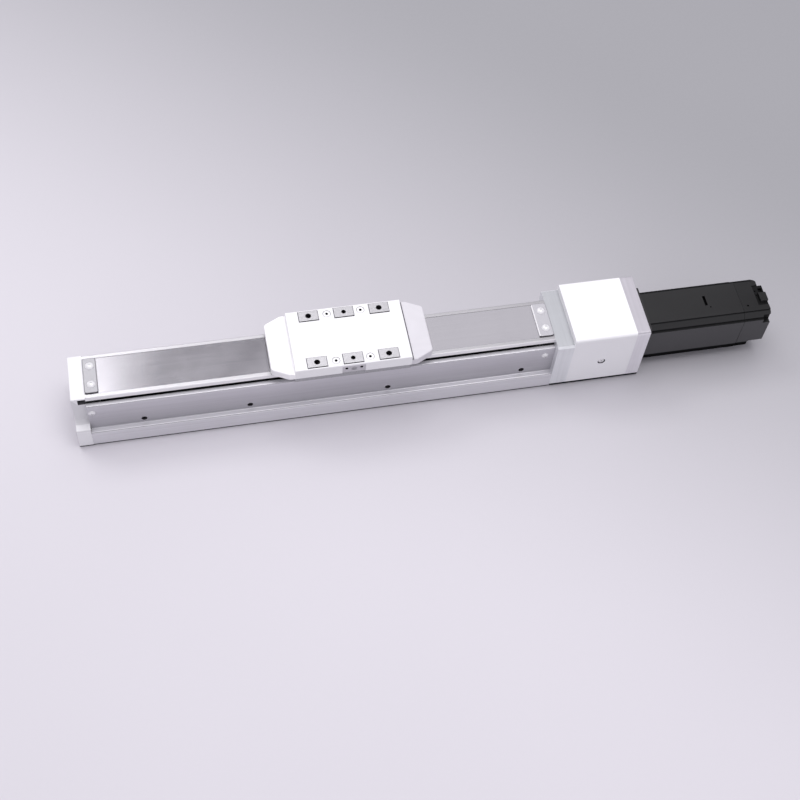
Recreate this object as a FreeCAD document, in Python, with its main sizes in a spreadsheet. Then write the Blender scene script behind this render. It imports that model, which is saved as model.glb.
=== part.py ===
import FreeCAD, Part
import math
import os
import Sketcher
from FreeCAD import Placement, Rotation, Vector

# Ball screw linear module, 200 mm stroke, 52 mm wide base.
# Frame: X along the screw (motor at +X), Z up, origin under the middle of the
# whole length, on the plane that the base stands on.  Millimetres.

doc = FreeCAD.newDocument("linear_module")
sheet = doc.addObject("Spreadsheet::Sheet", "dims")

CELLS = [
    ("axis_z", 28.0),            # height of the screw and motor axis
    # end cap
    ("cap_x0", -256.5), ("cap_x1", -246.5), ("cap_foot_hw", 26.3), ("cap_foot_z", 20.2),
    ("cap_hw", 18.3), ("cap_ledge_z", 22.0), ("top_z", 48.7),
    ("notch_x0", -252.0), ("notch_z0", 42.2), ("notch_z1", 47.6), ("notch_d", 3.4),
    # tongues of the end blocks, between the rail walls and under the cover
    ("tongue_x1", -236.9), ("tongue_x2", 79.1), ("tongue_hw", 16.9), ("tongue_z0", 10.1),
    ("tongue_in", 13.6), ("tongue_sh", 42.2),
    # base rail
    ("rail_x0", -246.5), ("rail_x1", 89.0), ("rail_hw", 26.0), ("foot_z", 15.6),
    ("wall_hw", 21.5), ("wall_z", 42.5), ("cav_hw", 17.0), ("floor_z", 10.0),
    ("seat_hw", 17.8), ("seat_z0", 23.0), ("seat_z1", 39.0), ("slot_in", 18.1),
    ("hole_a", -208.8), ("hole_b", -133.8), ("hole_c", -33.8), ("hole_d", 66.2),
    ("side_hole_z", 19.9), ("side_hole_r", 2.1), ("foot_hole_y", 13.0), ("foot_hole_r", 2.1),
    ("foot_hole_d", 8.0), ("end_screw_y", 21.2), ("end_screw_z", 8.0), ("m4_r", 2.0),
    ("toe_z", 1.5), ("toe_in", 0.3),
    # guide rails and balls
    ("grail_x0", -236.5), ("grail_x1", 78.7), ("grail_in", 13.8),
    ("row_y", 13.6), ("row_lo", 25.5), ("row_hi", 36.5), ("row_r", 1.65), ("gball_r", 1.5),
    # top cover and strip
    ("cover_hw", 17.8), ("cover_low", 18.4), ("cover_z0", 45.6), ("chan_hw", 14.9), ("chan_z", 48.1),
    ("strip_hw", 14.6), ("strip_z", 48.4), ("strip_x0", -246.2), ("strip_x1", 88.7),
    ("clamp_z", 50.0), ("clamp_a0", -246.3), ("clamp_a1", -236.9), ("clamp_b0", 78.0),
    ("clamp_b1", 88.9), ("clamp_hw", 14.6), ("cscrew_a", -241.5), ("cscrew_b", 83.9),
    ("cscrew_y", 7.7), ("m3_r", 1.5), ("btn_r", 2.9), ("btn_h", 1.7), ("cscrew_z", 40.4),
    ("sscrew_a", -243.7), ("sscrew_b", 82.2), ("sscrew_z", 34.9), ("sscrew_in", 11.8),
    # bearing block, coupling housing and adapter plate
    ("block_x0", 89.0), ("block_x1", 101.5), ("block_hw", 26.46), ("block_z0", 2.8),
    ("block_z1", 48.9), ("relief_z", 1.0), ("relief_in", 0.3), ("house_x1", 148.0), ("house_z1", 54.8), ("house_r", 17.0),
    ("plate_x1", 158.0), ("pilot_r", 15.0), ("fbear_x0", 83.0), ("fbear_x1", 97.0),
    ("fbear_r", 11.0), ("ret_r", 15.0), ("ret_x1", 101.0), ("bolt_y", 22.0),
    ("bolt_lo", 8.4), ("bolt_hi", 43.4), ("bolt_x0", 91.5), ("plug_x", 125.5), ("plug_z", 25.1),
    ("plug_r", 2.9),
    # support bearing
    ("sbear_x0", -244.0), ("sbear_x1", -239.0), ("sbear_r", 8.0),
    # ball screw
    ("screw_r", 5.0), ("lead", 10.0), ("thread_x0", -234.5), ("thread_x1", 77.5),
    ("groove_r", 0.95), ("groove_c", 5.1), ("jour_r", 4.0), ("jour_x0", -245.5),
    ("jour_x1", 103.0), ("tail_r", 3.0), ("tail_x1", 112.0),
    # carriage
    ("slide_x", -60.3), ("table_l", 83.0), ("carr_hw", 13.4), ("carr_z0", 15.0),
    ("carr_sh_z", 39.4), ("carr_top_hw", 16.6), ("web_z0", 42.9), ("web_z1", 45.2),
    ("ridge_in", 18.8), ("ridge_out", 22.4), ("table_z0", 51.2), ("table_z1", 60.6),
    ("table_hw", 25.4), ("pad_z", 61.1), ("pad_l", 13.7), ("pad_w", 8.1), ("pad_y", 20.0),
    ("pad_pitch", 25.5), ("moat_w", 0.5), ("moat_d", 0.4), ("m5_r", 2.1), ("m4t_r", 1.65), ("m5_d", 9.0), ("tscrew_dx", 12.15), ("tscrew_y", 20.3), ("tscrew_r", 1.25),
    ("tscrew_cb", 2.9), ("tscrew_cz", 57.6), ("end_l", 16.0), ("end_z", 57.4), ("joint_w", 1.3), ("joint_d", 0.9),
    ("cut_x", 12.0), ("cut_y", 6.0), ("nut_r", 10.0), ("nut_l", 44.0), ("nut_in", 6.1),
    ("ncap_l", 3.0), ("ncap_in", 5.4), ("nball_r", 0.8), ("port_hl", 8.2), ("port_z0", 51.8),
    ("port_z1", 58.9), ("port_d", 1.3),
    # motor
    ("flange_x1", 162.0), ("flange_hw", 20.0), ("pil_x0", 156.0), ("stator_x1", 235.5),
    ("motor_hw", 19.0), ("motor_cut", 5.6), ("groove_w", 0.9), ("groove_b", 1.6), ("step_w", 1.0), ("cov_x1", 256.5), ("shaft_x0", 120.8),
    ("shaft_x1", 243.0), ("slit_x", 209.2), ("ear_x", 245.5), ("seam_w", 0.4), ("near_x", 250.8), ("far_x", 253.0), ("plug_x0", 248.5), ("plug_x1", 256.4),
    # coupling
    ("hub_x0", 103.5), ("hub_x1", 112.5), ("hub_x2", 120.5), ("hub_x3", 130.5), ("hub_r", 12.0),
]

NUM = {}
for i, (alias, value) in enumerate(CELLS):
    cell = "B%d" % (i + 1)
    sheet.set("A%d" % (i + 1), alias)
    sheet.set(cell, "%g" % value)
    sheet.setAlias(cell, alias)
    NUM[alias] = float(value)
doc.recompute()


class Val:
    """A number together with the sheet expression that gives it."""

    def __init__(self, v, e):
        self.v = float(v)
        self.e = e

    def __add__(self, o):
        o = val(o)
        return Val(self.v + o.v, "(%s + %s)" % (self.e, o.e))

    def __radd__(self, o):
        return val(o) + self

    def __sub__(self, o):
        o = val(o)
        return Val(self.v - o.v, "(%s - %s)" % (self.e, o.e))

    def __rsub__(self, o):
        return val(o) - self

    def __mul__(self, o):
        o = val(o)
        return Val(self.v * o.v, "(%s * %s)" % (self.e, o.e))

    __rmul__ = __mul__

    def __neg__(self):
        return Val(-self.v, "(0 - %s)" % self.e)


def val(x):
    if isinstance(x, Val):
        return x
    x = float(x)
    return Val(x, "%.6f" % x if x >= 0 else "(0 - %.6f)" % -x)


def d(alias):
    return Val(NUM[alias], "dims." + alias)


# ---------------------------------------------------------------- helpers
count = [0]


def uid(stem):
    count[0] += 1
    return "%s_%d" % (stem, count[0])


def body(label):
    b = doc.addObject("PartDesign::Body", label)
    b.Label = label
    return b


def sketch(b, role, off=0.0, up=0.0):
    """Sketch on one of the body's origin planes.
    YZ: u=+Y v=+Z, off along +X.  XZ: u=+X v=+Z, off along -Y.  XY: off along +Z."""
    plane = [f for f in b.Origin.OriginFeatures if f.Role == role][0]
    sk = b.newObject("Sketcher::SketchObject", uid("sk"))
    sk.AttachmentSupport = [(plane, "")]
    sk.MapMode = "FlatFace"
    off, up = val(off), val(up)
    sk.AttachmentOffset = Placement(Vector(0, up.v, off.v), Rotation())
    sk.setExpression("AttachmentOffset.Base.z", off.e)
    if up.v:
        sk.setExpression("AttachmentOffset.Base.y", up.e)
    return sk


def fix(sk, geo, pos, u, v):
    """Ties a point of the sketch to its two coordinates."""
    for kind, w in (("DistanceX", val(u)), ("DistanceY", val(v))):
        if w.v == 0.0:
            axis = -2 if kind == "DistanceX" else -1
            sk.addConstraint(Sketcher.Constraint("PointOnObject", geo, pos, axis))
        else:
            n = sk.addConstraint(Sketcher.Constraint(kind, -1, 1, geo, pos, w.v))
            sk.setExpression("Constraints[%d]" % n, w.e)


def poly(sk, pts):
    pts = [(val(u), val(v)) for u, v in pts]
    n = len(pts)
    ids = []
    for i in range(n):
        a, b = pts[i], pts[(i + 1) % n]
        ids.append(sk.addGeometry(Part.LineSegment(Vector(a[0].v, a[1].v, 0), Vector(b[0].v, b[1].v, 0))))
    for i in range(n):
        sk.addConstraint(Sketcher.Constraint("Coincident", ids[i], 2, ids[(i + 1) % n], 1))
    for i in range(n):
        fix(sk, ids[i], 1, pts[i][0], pts[i][1])
    return sk


def rect(sk, u0, u1, v0, v1):
    return poly(sk, [(u0, v0), (u1, v0), (u1, v1), (u0, v1)])


def circ(sk, u, v, r):
    u, v, r = val(u), val(v), val(r)
    g = sk.addGeometry(Part.Circle(Vector(u.v, v.v, 0), Vector(0, 0, 1), r.v))
    fix(sk, g, 3, u, v)
    n = sk.addConstraint(Sketcher.Constraint("Radius", g, r.v))
    sk.setExpression("Constraints[%d]" % n, r.e)
    return sk


def pad(b, sk, length, back=False):
    length = val(length)
    f = b.newObject("PartDesign::Pad", uid("pad"))
    f.Profile = sk
    f.Length = length.v
    f.setExpression("Length", length.e)
    f.Reversed = back
    doc.recompute()
    return f


def cut(b, sk, length, back=False):
    """Pocket; raises if it removed nothing."""
    length = val(length)
    before = b.Shape.Volume
    f = b.newObject("PartDesign::Pocket", uid("pocket"))
    f.Profile = sk
    f.Length = length.v
    f.setExpression("Length", length.e)
    f.Reversed = back
    doc.recompute()
    if not b.Shape.Volume < before - 1e-4:
        raise RuntimeError("pocket cut nothing in " + b.Label)
    return f


def turn(b, sk):
    f = b.newObject("PartDesign::Revolution", uid("rev"))
    f.Profile = sk
    f.ReferenceAxis = (sk, ["H_Axis"])
    f.Angle = 360.0
    doc.recompute()
    return f


def along(axis, places, tol=0.02):
    """Edges that run along one axis at the given places of the other two axes."""
    k = "XYZ".index(axis)
    others = [i for i in range(3) if i != k]

    def test(e):
        bb = e.BoundBox
        lo = (bb.XMin, bb.YMin, bb.ZMin)
        hi = (bb.XMax, bb.YMax, bb.ZMax)
        if hi[k] - lo[k] < 0.5:
            return False
        for i in others:
            if hi[i] - lo[i] > tol:
                return False
        return any(all(abs((lo[i] + hi[i]) / 2 - p[j]) < tol for j, i in enumerate(others)) for p in places)
    return test


def level(z, tol=0.02):
    """Edges that lie in one horizontal plane."""
    return lambda e: abs(e.BoundBox.ZMin - z) < tol and abs(e.BoundBox.ZMax - z) < tol


def dress(b, kind, test, size):
    feat = b.Tip
    names = ["Edge%d" % i for i, e in enumerate(feat.Shape.Edges, 1) if test(e)]
    if not names:
        raise RuntimeError("no edge to dress in " + b.Label)
    size = val(size)
    f = b.newObject("PartDesign::" + kind, uid(kind.lower()))
    f.Base = (feat, names)
    prop = "Radius" if kind == "Fillet" else "Size"
    setattr(f, prop, size.v)
    f.setExpression(prop, size.e)
    doc.recompute()
    if "Invalid" in f.State or "Error" in f.State or f.Shape.isNull() or not f.Shape.isValid():
        raise RuntimeError("%s failed on %s" % (kind, b.Label))
    return f


def place(o, x, y, z, rot=None):
    x, y, z = val(x), val(y), val(z)
    o.Placement = Placement(Vector(x.v, y.v, z.v), rot or Rotation())
    o.setExpression("Placement.Base.x", x.e)
    o.setExpression("Placement.Base.y", y.e)
    o.setExpression("Placement.Base.z", z.e)
    return o


def size(o, **kw):
    for k, w in kw.items():
        w = val(w)
        setattr(o, k, w.v)
        o.setExpression(k, w.e)
    return o


TOX = Rotation(Vector(0, 1, 0), 90)     # an upright cylinder laid along +X
TOY = Rotation(Vector(1, 0, 0), -90)    # and along +Y
TOMY = Rotation(Vector(1, 0, 0), 90)    # and along -Y
DOWN = Rotation(Vector(1, 0, 0), 180)


def block(x0, x1, y0, y1, z0, z1):
    x0, x1, y0, y1, z0, z1 = [val(w) for w in (x0, x1, y0, y1, z0, z1)]
    o = size(doc.addObject("Part::Box", uid("box")), Length=x1 - x0, Width=y1 - y0, Height=z1 - z0)
    return place(o, x0, y0, z0)


def cyl(x, y, z, r, length, rot=None):
    o = size(doc.addObject("Part::Cylinder", uid("cyl")), Radius=r, Height=length)
    return place(o, x, y, z, rot)


def ball(x, y, z, r):
    return place(size(doc.addObject("Part::Sphere", uid("ball")), Radius=r), x, y, z)


def minus(a, *tools):
    o = doc.addObject("Part::Cut", uid("cut"))
    o.Base = a
    if len(tools) == 1:
        o.Tool = tools[0]
    else:
        o.Tool = fuse(*tools)
    return o


def fuse(*shapes):
    o = doc.addObject("Part::MultiFuse", uid("fuse"))
    o.Shapes = list(shapes)
    o.Refine = True
    return o


def group(label, items):
    o = doc.addObject("Part::Compound", label)
    o.Links = list(items)
    o.Label = label
    return o


def name(o, label):
    o.Label = label
    return o


def ring(x0, x1, r_in, r_out, z=None):
    """Ring about the screw axis."""
    z = d("axis_z") if z is None else z
    x0, x1 = val(x0), val(x1)
    return minus(cyl(x0, 0, z, r_out, x1 - x0, TOX), cyl(x0 - 1, 0, z, r_in, x1 - x0 + 2, TOX))


def ball_ring(x, r_pitch, r, n):
    out = []
    for i in range(n):
        a = 2 * math.pi * i / n
        out.append(ball(x, r_pitch * math.cos(a), d("axis_z") + r_pitch * math.sin(a), r))
    return out


def cap_screw(x, y, z, rot, head_r, head_h, shank_r, shank_l, hex_r):
    """Socket screw: the head stands along the local +Z, the shank below it."""
    out = Rotation(rot)
    tip = out.multVec(Vector(0, 0, -1))
    x, y, z = val(x), val(y), val(z)
    head = cyl(x, y, z, head_r, head_h, out)
    shank_len = val(shank_l)
    base = [x + shank_len * tip.x, y + shank_len * tip.y, z + shank_len * tip.z]
    shank = cyl(base[0], base[1], base[2], shank_r, shank_len, out)
    head_h = val(head_h)
    socket = doc.addObject("Part::Prism", uid("hex"))
    socket.Polygon = 6
    size(socket, Circumradius=hex_r, Height=head_h * 0.75)
    place(socket, x - head_h * 0.4 * tip.x, y - head_h * 0.4 * tip.y, z - head_h * 0.4 * tip.z, out)
    return minus(fuse(head, shank), socket)


def button_screw(x, y, z, rot, head_r, head_h, shank_r, shank_l, hex_r):
    """Button-head screw: a domed head with a hexagon socket."""
    out = Rotation(rot)
    tip = out.multVec(Vector(0, 0, -1))
    x, y, z = val(x), val(y), val(z)
    head_r, head_h, shank_len = val(head_r), val(head_h), val(shank_l)
    dome_r = (head_r.v ** 2 + head_h.v ** 2) / (2 * head_h.v) * 1.06
    sink = val(dome_r) - head_h
    dome = doc.addObject("Part::Common", uid("dome"))
    dome.Base = cyl(x, y, z, head_r, head_h, out)
    dome.Tool = ball(x + sink * tip.x, y + sink * tip.y, z + sink * tip.z, dome_r)
    base = [x + shank_len * tip.x, y + shank_len * tip.y, z + shank_len * tip.z]
    shank = cyl(base[0], base[1], base[2], shank_r, shank_len, out)
    socket = doc.addObject("Part::Prism", uid("hex"))
    socket.Polygon = 6
    size(socket, Circumradius=hex_r, Height=head_h)
    place(socket, x - head_h * 0.45 * tip.x, y - head_h * 0.45 * tip.y, z - head_h * 0.45 * tip.z, out)
    return minus(fuse(dome, shank), socket)


NODES = []


def node(o):
    NODES.append(o)
    return o


AZ = d("axis_z")

# ---------------------------------------------------------------- base rail
# U-shaped extrusion: wide foot, recessed side walls, seats for the guide rails.
b = node(body("base_rail"))
hw, wh, ch, sh = d("rail_hw"), d("wall_hw"), d("cav_hw"), d("seat_hw")
half = [(hw, 0), (hw, d("foot_z")), (wh, d("foot_z")), (wh, d("wall_z")), (d("slot_in"), d("wall_z")),
        (d("slot_in"), d("seat_z1")), (sh, d("seat_z1")), (sh, d("seat_z0")), (ch, d("seat_z0")), (ch, d("floor_z"))]
prof = half + [(-u, v) for u, v in reversed(half)]
pad(b, poly(sketch(b, "YZ_Plane", d("rail_x0")), prof), d("rail_x1") - d("rail_x0"))
# tapped holes through both side walls
sk = sketch(b, "XZ_Plane", 40.0)
for h in ("hole_a", "hole_b", "hole_c", "hole_d"):
    circ(sk, d(h), d("side_hole_z"), d("side_hole_r"))
cut(b, sk, 80.0)
# tapped holes in the underside
sk = sketch(b, "XY_Plane", 0.0)
for h in ("hole_a", "hole_b", "hole_c", "hole_d"):
    for s in (1, -1):
        circ(sk, d(h), s * d("foot_hole_y"), d("foot_hole_r"))
cut(b, sk, d("foot_hole_d"), True)
# clearance holes for the side screws at both ends
sk = sketch(b, "XZ_Plane", 40.0)
for h in ("sscrew_a", "sscrew_b"):
    circ(sk, d(h), d("sscrew_z"), d("m3_r"))
cut(b, sk, 80.0)
# tapped holes in the two end faces of the foot
for x, back in ((d("rail_x0"), True), (d("rail_x1"), False)):
    sk = sketch(b, "YZ_Plane", x)
    for s in (1, -1):
        circ(sk, s * d("end_screw_y"), d("end_screw_z"), d("m4_r"))
    cut(b, sk, 14.0, back)
dress(b, "Fillet", along("X", [(s * 26.0, 15.6) for s in (1, -1)]), 1.2)
dress(b, "Fillet", along("X", [(s * 21.5, 42.5) for s in (1, -1)]), 0.9)
dress(b, "Fillet", along("X", [(s * 21.5, 15.6) for s in (1, -1)]), 0.8)
# low step along both long edges of the underside
sk = sketch(b, "YZ_Plane", d("rail_x0"))
for s in (1, -1):
    rect(sk, s * (hw - d("toe_in")), s * (hw + 2), -2.0, d("toe_z"))
cut(b, sk, 400.0, True)

# ---------------------------------------------------------------- end cap
b = node(body("left_end_cap"))
fw, cw = d("cap_foot_hw"), d("cap_hw")
half = [(fw, 0), (fw, d("cap_foot_z")), (cw, d("cap_ledge_z")), (cw, d("top_z"))]
pad(b, poly(sketch(b, "YZ_Plane", d("cap_x0")), half + [(-u, v) for u, v in reversed(half)]), d("cap_x1") - d("cap_x0"))
sk = rect(sketch(b, "YZ_Plane", d("cap_x1")), -d("tongue_hw"), d("tongue_hw"), d("tongue_z0"), d("cover_z0"))
pad(b, sk, d("tongue_x1") - d("cap_x1"))
dress(b, "Fillet", along("X", [(s * 18.3, 22.0) for s in (1, -1)]), 4.5)
dress(b, "Fillet", along("X", [(s * 26.3, 20.2) for s in (1, -1)]), 1.0)
dress(b, "Fillet", lambda e: abs(e.BoundBox.XMin + 256.5) < 0.02 and abs(e.BoundBox.XMax + 256.5) < 0.02 and e.BoundBox.ZMax > 1.0, 0.8)
dress(b, "Fillet", along("X", [(s * 18.3, 48.7) for s in (1, -1)]), 0.7)
# low step of the underside and shoulders of the tongue, level with the slots
sk = sketch(b, "YZ_Plane", d("cap_x0"))
for s in (1, -1):
    rect(sk, s * (fw - d("toe_in")), s * (fw + 2), -2.0, d("toe_z"))
cut(b, sk, 30.0, True)
sk = sketch(b, "YZ_Plane", d("cap_x1"))
for s in (1, -1):
    rect(sk, s * d("tongue_in"), s * (d("tongue_hw") + 1), d("tongue_sh"), d("cover_z0") + 0.5)
cut(b, sk, 30.0, True)
# support bearing seat and room for the journal's end
cut(b, circ(sketch(b, "YZ_Plane", d("tongue_x1")), 0, AZ, d("sbear_r")), d("tongue_x1") - d("sbear_x0"))
cut(b, circ(sketch(b, "YZ_Plane", d("sbear_x0")), 0, AZ, 5.0), 4.0)
# holes for the screws into the rail's foot, counterbored in the outer face
sk = sketch(b, "YZ_Plane", d("cap_x0"))
for s in (1, -1):
    circ(sk, s * d("end_screw_y"), d("end_screw_z"), d("m4_r"))
cut(b, sk, 10.0, True)
sk = sketch(b, "YZ_Plane", d("cap_x0"))
for s in (1, -1):
    circ(sk, s * d("end_screw_y"), d("end_screw_z"), 3.7)
cut(b, sk, 4.4, True)
# tapped holes for the strip clamp and for the side screws
sk = sketch(b, "XY_Plane", d("cover_z0"))
for s in (1, -1):
    circ(sk, d("cscrew_a"), s * d("cscrew_y"), d("m3_r"))
cut(b, sk, d("cover_z0") - d("cscrew_z"))
for s in (1, -1):
    sk = circ(sketch(b, "XZ_Plane", s * d("tongue_hw")), d("sscrew_a"), d("sscrew_z"), d("m3_r"))
    cut(b, sk, d("tongue_hw") - d("sscrew_in"), s < 0)
# pockets where the slots end
for s in (1, -1):
    sk = rect(sketch(b, "XZ_Plane", s * (d("cap_hw") + 1)), d("notch_x0"), d("cap_x1") + 0.5, d("notch_z0"), d("notch_z1"))
    cut(b, sk, d("notch_d") + 1, s < 0)

# ---------------------------------------------------------------- bearing block
b = node(body("bearing_block"))
bw = d("block_hw")
pad(b, rect(sketch(b, "YZ_Plane", d("block_x0")), -bw, bw, d("block_z0"), d("block_z1")), d("block_x1") - d("block_x0"))
sk = rect(sketch(b, "YZ_Plane", d("tongue_x2")), -d("tongue_hw"), d("tongue_hw"), d("tongue_z0"), d("cover_z0"))
pad(b, sk, d("block_x0") - d("tongue_x2"))
dress(b, "Chamfer", along("X", [(s * 26.46, 48.9) for s in (1, -1)]), 1.4)
dress(b, "Fillet", along("X", [(s * 26.46, 2.8) for s in (1, -1)]), 0.6)
dress(b, "Fillet", along("Z", [(89.0, s * 26.46) for s in (1, -1)]), 0.5)
bl = bw - d("relief_in")
sk = rect(sketch(b, "YZ_Plane", d("block_x0") + d("relief_in")), -bl, bl, d("relief_z"), d("block_z0") + 1)
pad(b, sk, d("block_x1") - d("block_x0") - d("relief_in"))
sk = sketch(b, "YZ_Plane", d("block_x0"))
for s in (1, -1):
    rect(sk, s * d("tongue_in"), s * (d("tongue_hw") + 1), d("tongue_sh"), d("cover_z0") + 0.5)
cut(b, sk, 30.0)
cut(b, circ(sketch(b, "YZ_Plane", d("tongue_x2")), 0, AZ, 6.5), 30.0, True)
cut(b, circ(sketch(b, "YZ_Plane", d("fbear_x0")), 0, AZ, d("fbear_r")), 30.0, True)
cut(b, circ(sketch(b, "YZ_Plane", d("fbear_x1")), 0, AZ, d("ret_r")), 10.0, True)
# holes for the screws into the rail, heads sunk under the housing
sk = sketch(b, "YZ_Plane", d("block_x0"))
for s in (1, -1):
    circ(sk, s * d("end_screw_y"), d("end_screw_z"), d("m4_r"))
cut(b, sk, 30.0, True)
sk = sketch(b, "YZ_Plane", d("block_x1"))
for s in (1, -1):
    circ(sk, s * d("end_screw_y"), d("end_screw_z"), 3.7)
cut(b, sk, 4.4)
# tapped holes for the long housing bolts
sk = sketch(b, "YZ_Plane", d("bolt_x0"))
for s in (1, -1):
    circ(sk, s * d("bolt_y"), d("bolt_hi"), d("m4_r"))
cut(b, sk, 20.0, True)
# tapped holes for the retainer
sk = sketch(b, "YZ_Plane", d("fbear_x1"))
for k in range(4):
    a = math.pi / 4 + k * math.pi / 2
    circ(sk, 13.0 * math.cos(a), AZ + 13.0 * math.sin(a), 1.25)
cut(b, sk, 6.0)
# tapped holes for the strip clamp and for the side screws
sk = sketch(b, "XY_Plane", d("cover_z0"))
for s in (1, -1):
    circ(sk, d("cscrew_b"), s * d("cscrew_y"), d("m3_r"))
cut(b, sk, d("cover_z0") - d("cscrew_z"))
for s in (1, -1):
    sk = circ(sketch(b, "XZ_Plane", s * d("tongue_hw")), d("sscrew_b"), d("sscrew_z"), d("m3_r"))
    cut(b, sk, d("tongue_hw") - d("sscrew_in"), s < 0)

# ---------------------------------------------------------------- coupling housing
b = node(body("coupling_housing"))
pad(b, rect(sketch(b, "YZ_Plane", d("block_x1")), -bw, bw, d("block_z0"), d("house_z1")), d("house_x1") - d("block_x1"))
dress(b, "Fillet", along("X", [(s * 26.46, 54.8) for s in (1, -1)]), 2.2)
dress(b, "Fillet", along("X", [(s * 26.46, 2.8) for s in (1, -1)]), 0.6)
pad(b, rect(sketch(b, "YZ_Plane", d("block_x1")), -bl, bl, d("relief_z"), d("block_z0") + 1), d("house_x1") - d("block_x1"))
cut(b, circ(sketch(b, "YZ_Plane", d("block_x1")), 0, AZ, d("house_r")), 80.0, True)
sk = sketch(b, "YZ_Plane", d("block_x1"))
for s in (1, -1):
    circ(sk, s * d("bolt_y"), d("bolt_hi"), d("m4_r") + 0.2)
    circ(sk, s * d("bolt_y"), d("bolt_lo") + 5, d("m4_r"))
cut(b, sk, 80.0, True)
# access hole for the coupling's clamp screws, front side
cut(b, circ(sketch(b, "XZ_Plane", bw), d("plug_x"), d("plug_z"), d("plug_r")), 14.0)

# ---------------------------------------------------------------- motor adapter plate
b = node(body("motor_adapter_plate"))
pad(b, rect(sketch(b, "YZ_Plane", d("house_x1")), -bw, bw, d("block_z0"), d("house_z1")), d("plate_x1") - d("house_x1"))
dress(b, "Fillet", along("X", [(s * 26.46, 54.8) for s in (1, -1)]), 2.2)
dress(b, "Fillet", along("X", [(s * 26.46, 2.8) for s in (1, -1)]), 0.6)
dress(b, "Fillet", lambda e: abs(e.BoundBox.XMin - 158.0) < 0.02 and abs(e.BoundBox.XMax - 158.0) < 0.02, 0.5)
sk = rect(sketch(b, "YZ_Plane", d("house_x1")), -bl, bl, d("relief_z"), d("block_z0") + 1)
pad(b, sk, d("plate_x1") - d("house_x1") - d("relief_in"))
cut(b, circ(sketch(b, "YZ_Plane", d("house_x1")), 0, AZ, d("pilot_r")), 20.0, True)
sk = sketch(b, "YZ_Plane", d("house_x1"))
for s in (1, -1):
    circ(sk, s * d("bolt_y"), d("bolt_hi"), d("m4_r") + 0.2)
    circ(sk, s * d("bolt_y"), d("bolt_lo") + 5, d("m4_r") + 0.2)
    for t in (1, -1):
        circ(sk, s * 15.6, AZ + t * 15.6, 1.6)
cut(b, sk, 20.0, True)
sk = sketch(b, "YZ_Plane", d("plate_x1"))
for s in (1, -1):
    circ(sk, s * d("bolt_y"), d("bolt_hi"), 3.7)
    circ(sk, s * d("bolt_y"), d("bolt_lo") + 5, 3.7)
cut(b, sk, 4.6)
sk = sketch(b, "YZ_Plane", d("house_x1"))
for s in (1, -1):
    for t in (1, -1):
        circ(sk, s * 15.6, AZ + t * 15.6, 3.0)
cut(b, sk, 3.4, True)

# ---------------------------------------------------------------- top cover and strip
b = node(body("top_cover"))
cv, cc, cl = d("cover_hw"), d("chan_hw"), d("cover_low")
prof = [(-cl, d("cover_z0")), (cl, d("cover_z0")), (cv, d("top_z")), (cc, d("top_z")), (cc, d("chan_z")),
        (-cc, d("chan_z")), (-cc, d("top_z")), (-cv, d("top_z"))]
pad(b, poly(sketch(b, "YZ_Plane", d("rail_x0")), prof), d("rail_x1") - d("rail_x0"))
sk = sketch(b, "XY_Plane", d("top_z"))
for h in ("cscrew_a", "cscrew_b"):
    for s in (1, -1):
        circ(sk, d(h), s * d("cscrew_y"), d("m3_r"))
cut(b, sk, 10.0)
dress(b, "Fillet", along("X", [(s * 17.8, 48.7) for s in (1, -1)]), 0.7)
dress(b, "Fillet", along("X", [(s * 18.4, 45.6) for s in (1, -1)]), 0.3)

b = node(body("seal_strip"))
pad(b, rect(sketch(b, "XY_Plane", d("chan_z")), d("strip_x0"), d("strip_x1"), -d("strip_hw"), d("strip_hw")), d("strip_z") - d("chan_z"))
sk = sketch(b, "XY_Plane", d("strip_z"))
for h in ("cscrew_a", "cscrew_b"):
    for s in (1, -1):
        circ(sk, d(h), s * d("cscrew_y"), d("m3_r"))
cut(b, sk, 2.0)

for label, a0, a1, h in (("strip_clamp_left", "clamp_a0", "clamp_a1", "cscrew_a"),
                         ("strip_clamp_right", "clamp_b0", "clamp_b1", "cscrew_b")):
    b = node(body(label))
    pad(b, rect(sketch(b, "XY_Plane", d("strip_z")), d(a0), d(a1), -d("clamp_hw"), d("clamp_hw")), d("clamp_z") - d("strip_z"))
    dress(b, "Fillet", along("Z", [(NUM[k], s * 14.6) for k in (a0, a1) for s in (1, -1)]), 1.8)
    dress(b, "Fillet", level(50.0), 0.7)
    sk = sketch(b, "XY_Plane", d("clamp_z"))
    for s in (1, -1):
        circ(sk, d(h), s * d("cscrew_y"), d("m3_r"))
    cut(b, sk, 5.0)

node(group("strip_clamp_screws", [
    button_screw(d(h), s * d("cscrew_y"), d("clamp_z"), Rotation(), d("btn_r"), d("btn_h"), d("m3_r"), d("clamp_z") - d("cscrew_z"), 1.15)
    for h in ("cscrew_a", "cscrew_b") for s in (1, -1)]))
node(group("side_wall_screws", [
    button_screw(d(h), s * d("wall_hw"), d("sscrew_z"), TOY if s > 0 else TOMY, 2.6, 1.4, d("m3_r"), d("wall_hw") - d("sscrew_in"), 1.0)
    for h in ("sscrew_a", "sscrew_b") for s in (1, -1)]))
node(group("end_cap_screws", [
    cap_screw(d("cap_x0") + 4.4, s * d("end_screw_y"), d("end_screw_z"), Rotation(Vector(0, 1, 0), -90), 3.5, 4.0, d("m4_r"), 18.0, 1.75)
    for s in (1, -1)]))
node(group("bearing_block_screws", [
    cap_screw(d("block_x1") - 4.4, s * d("end_screw_y"), d("end_screw_z"), TOX, 3.5, 4.0, d("m4_r"), 20.0, 1.75)
    for s in (1, -1)]))
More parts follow.
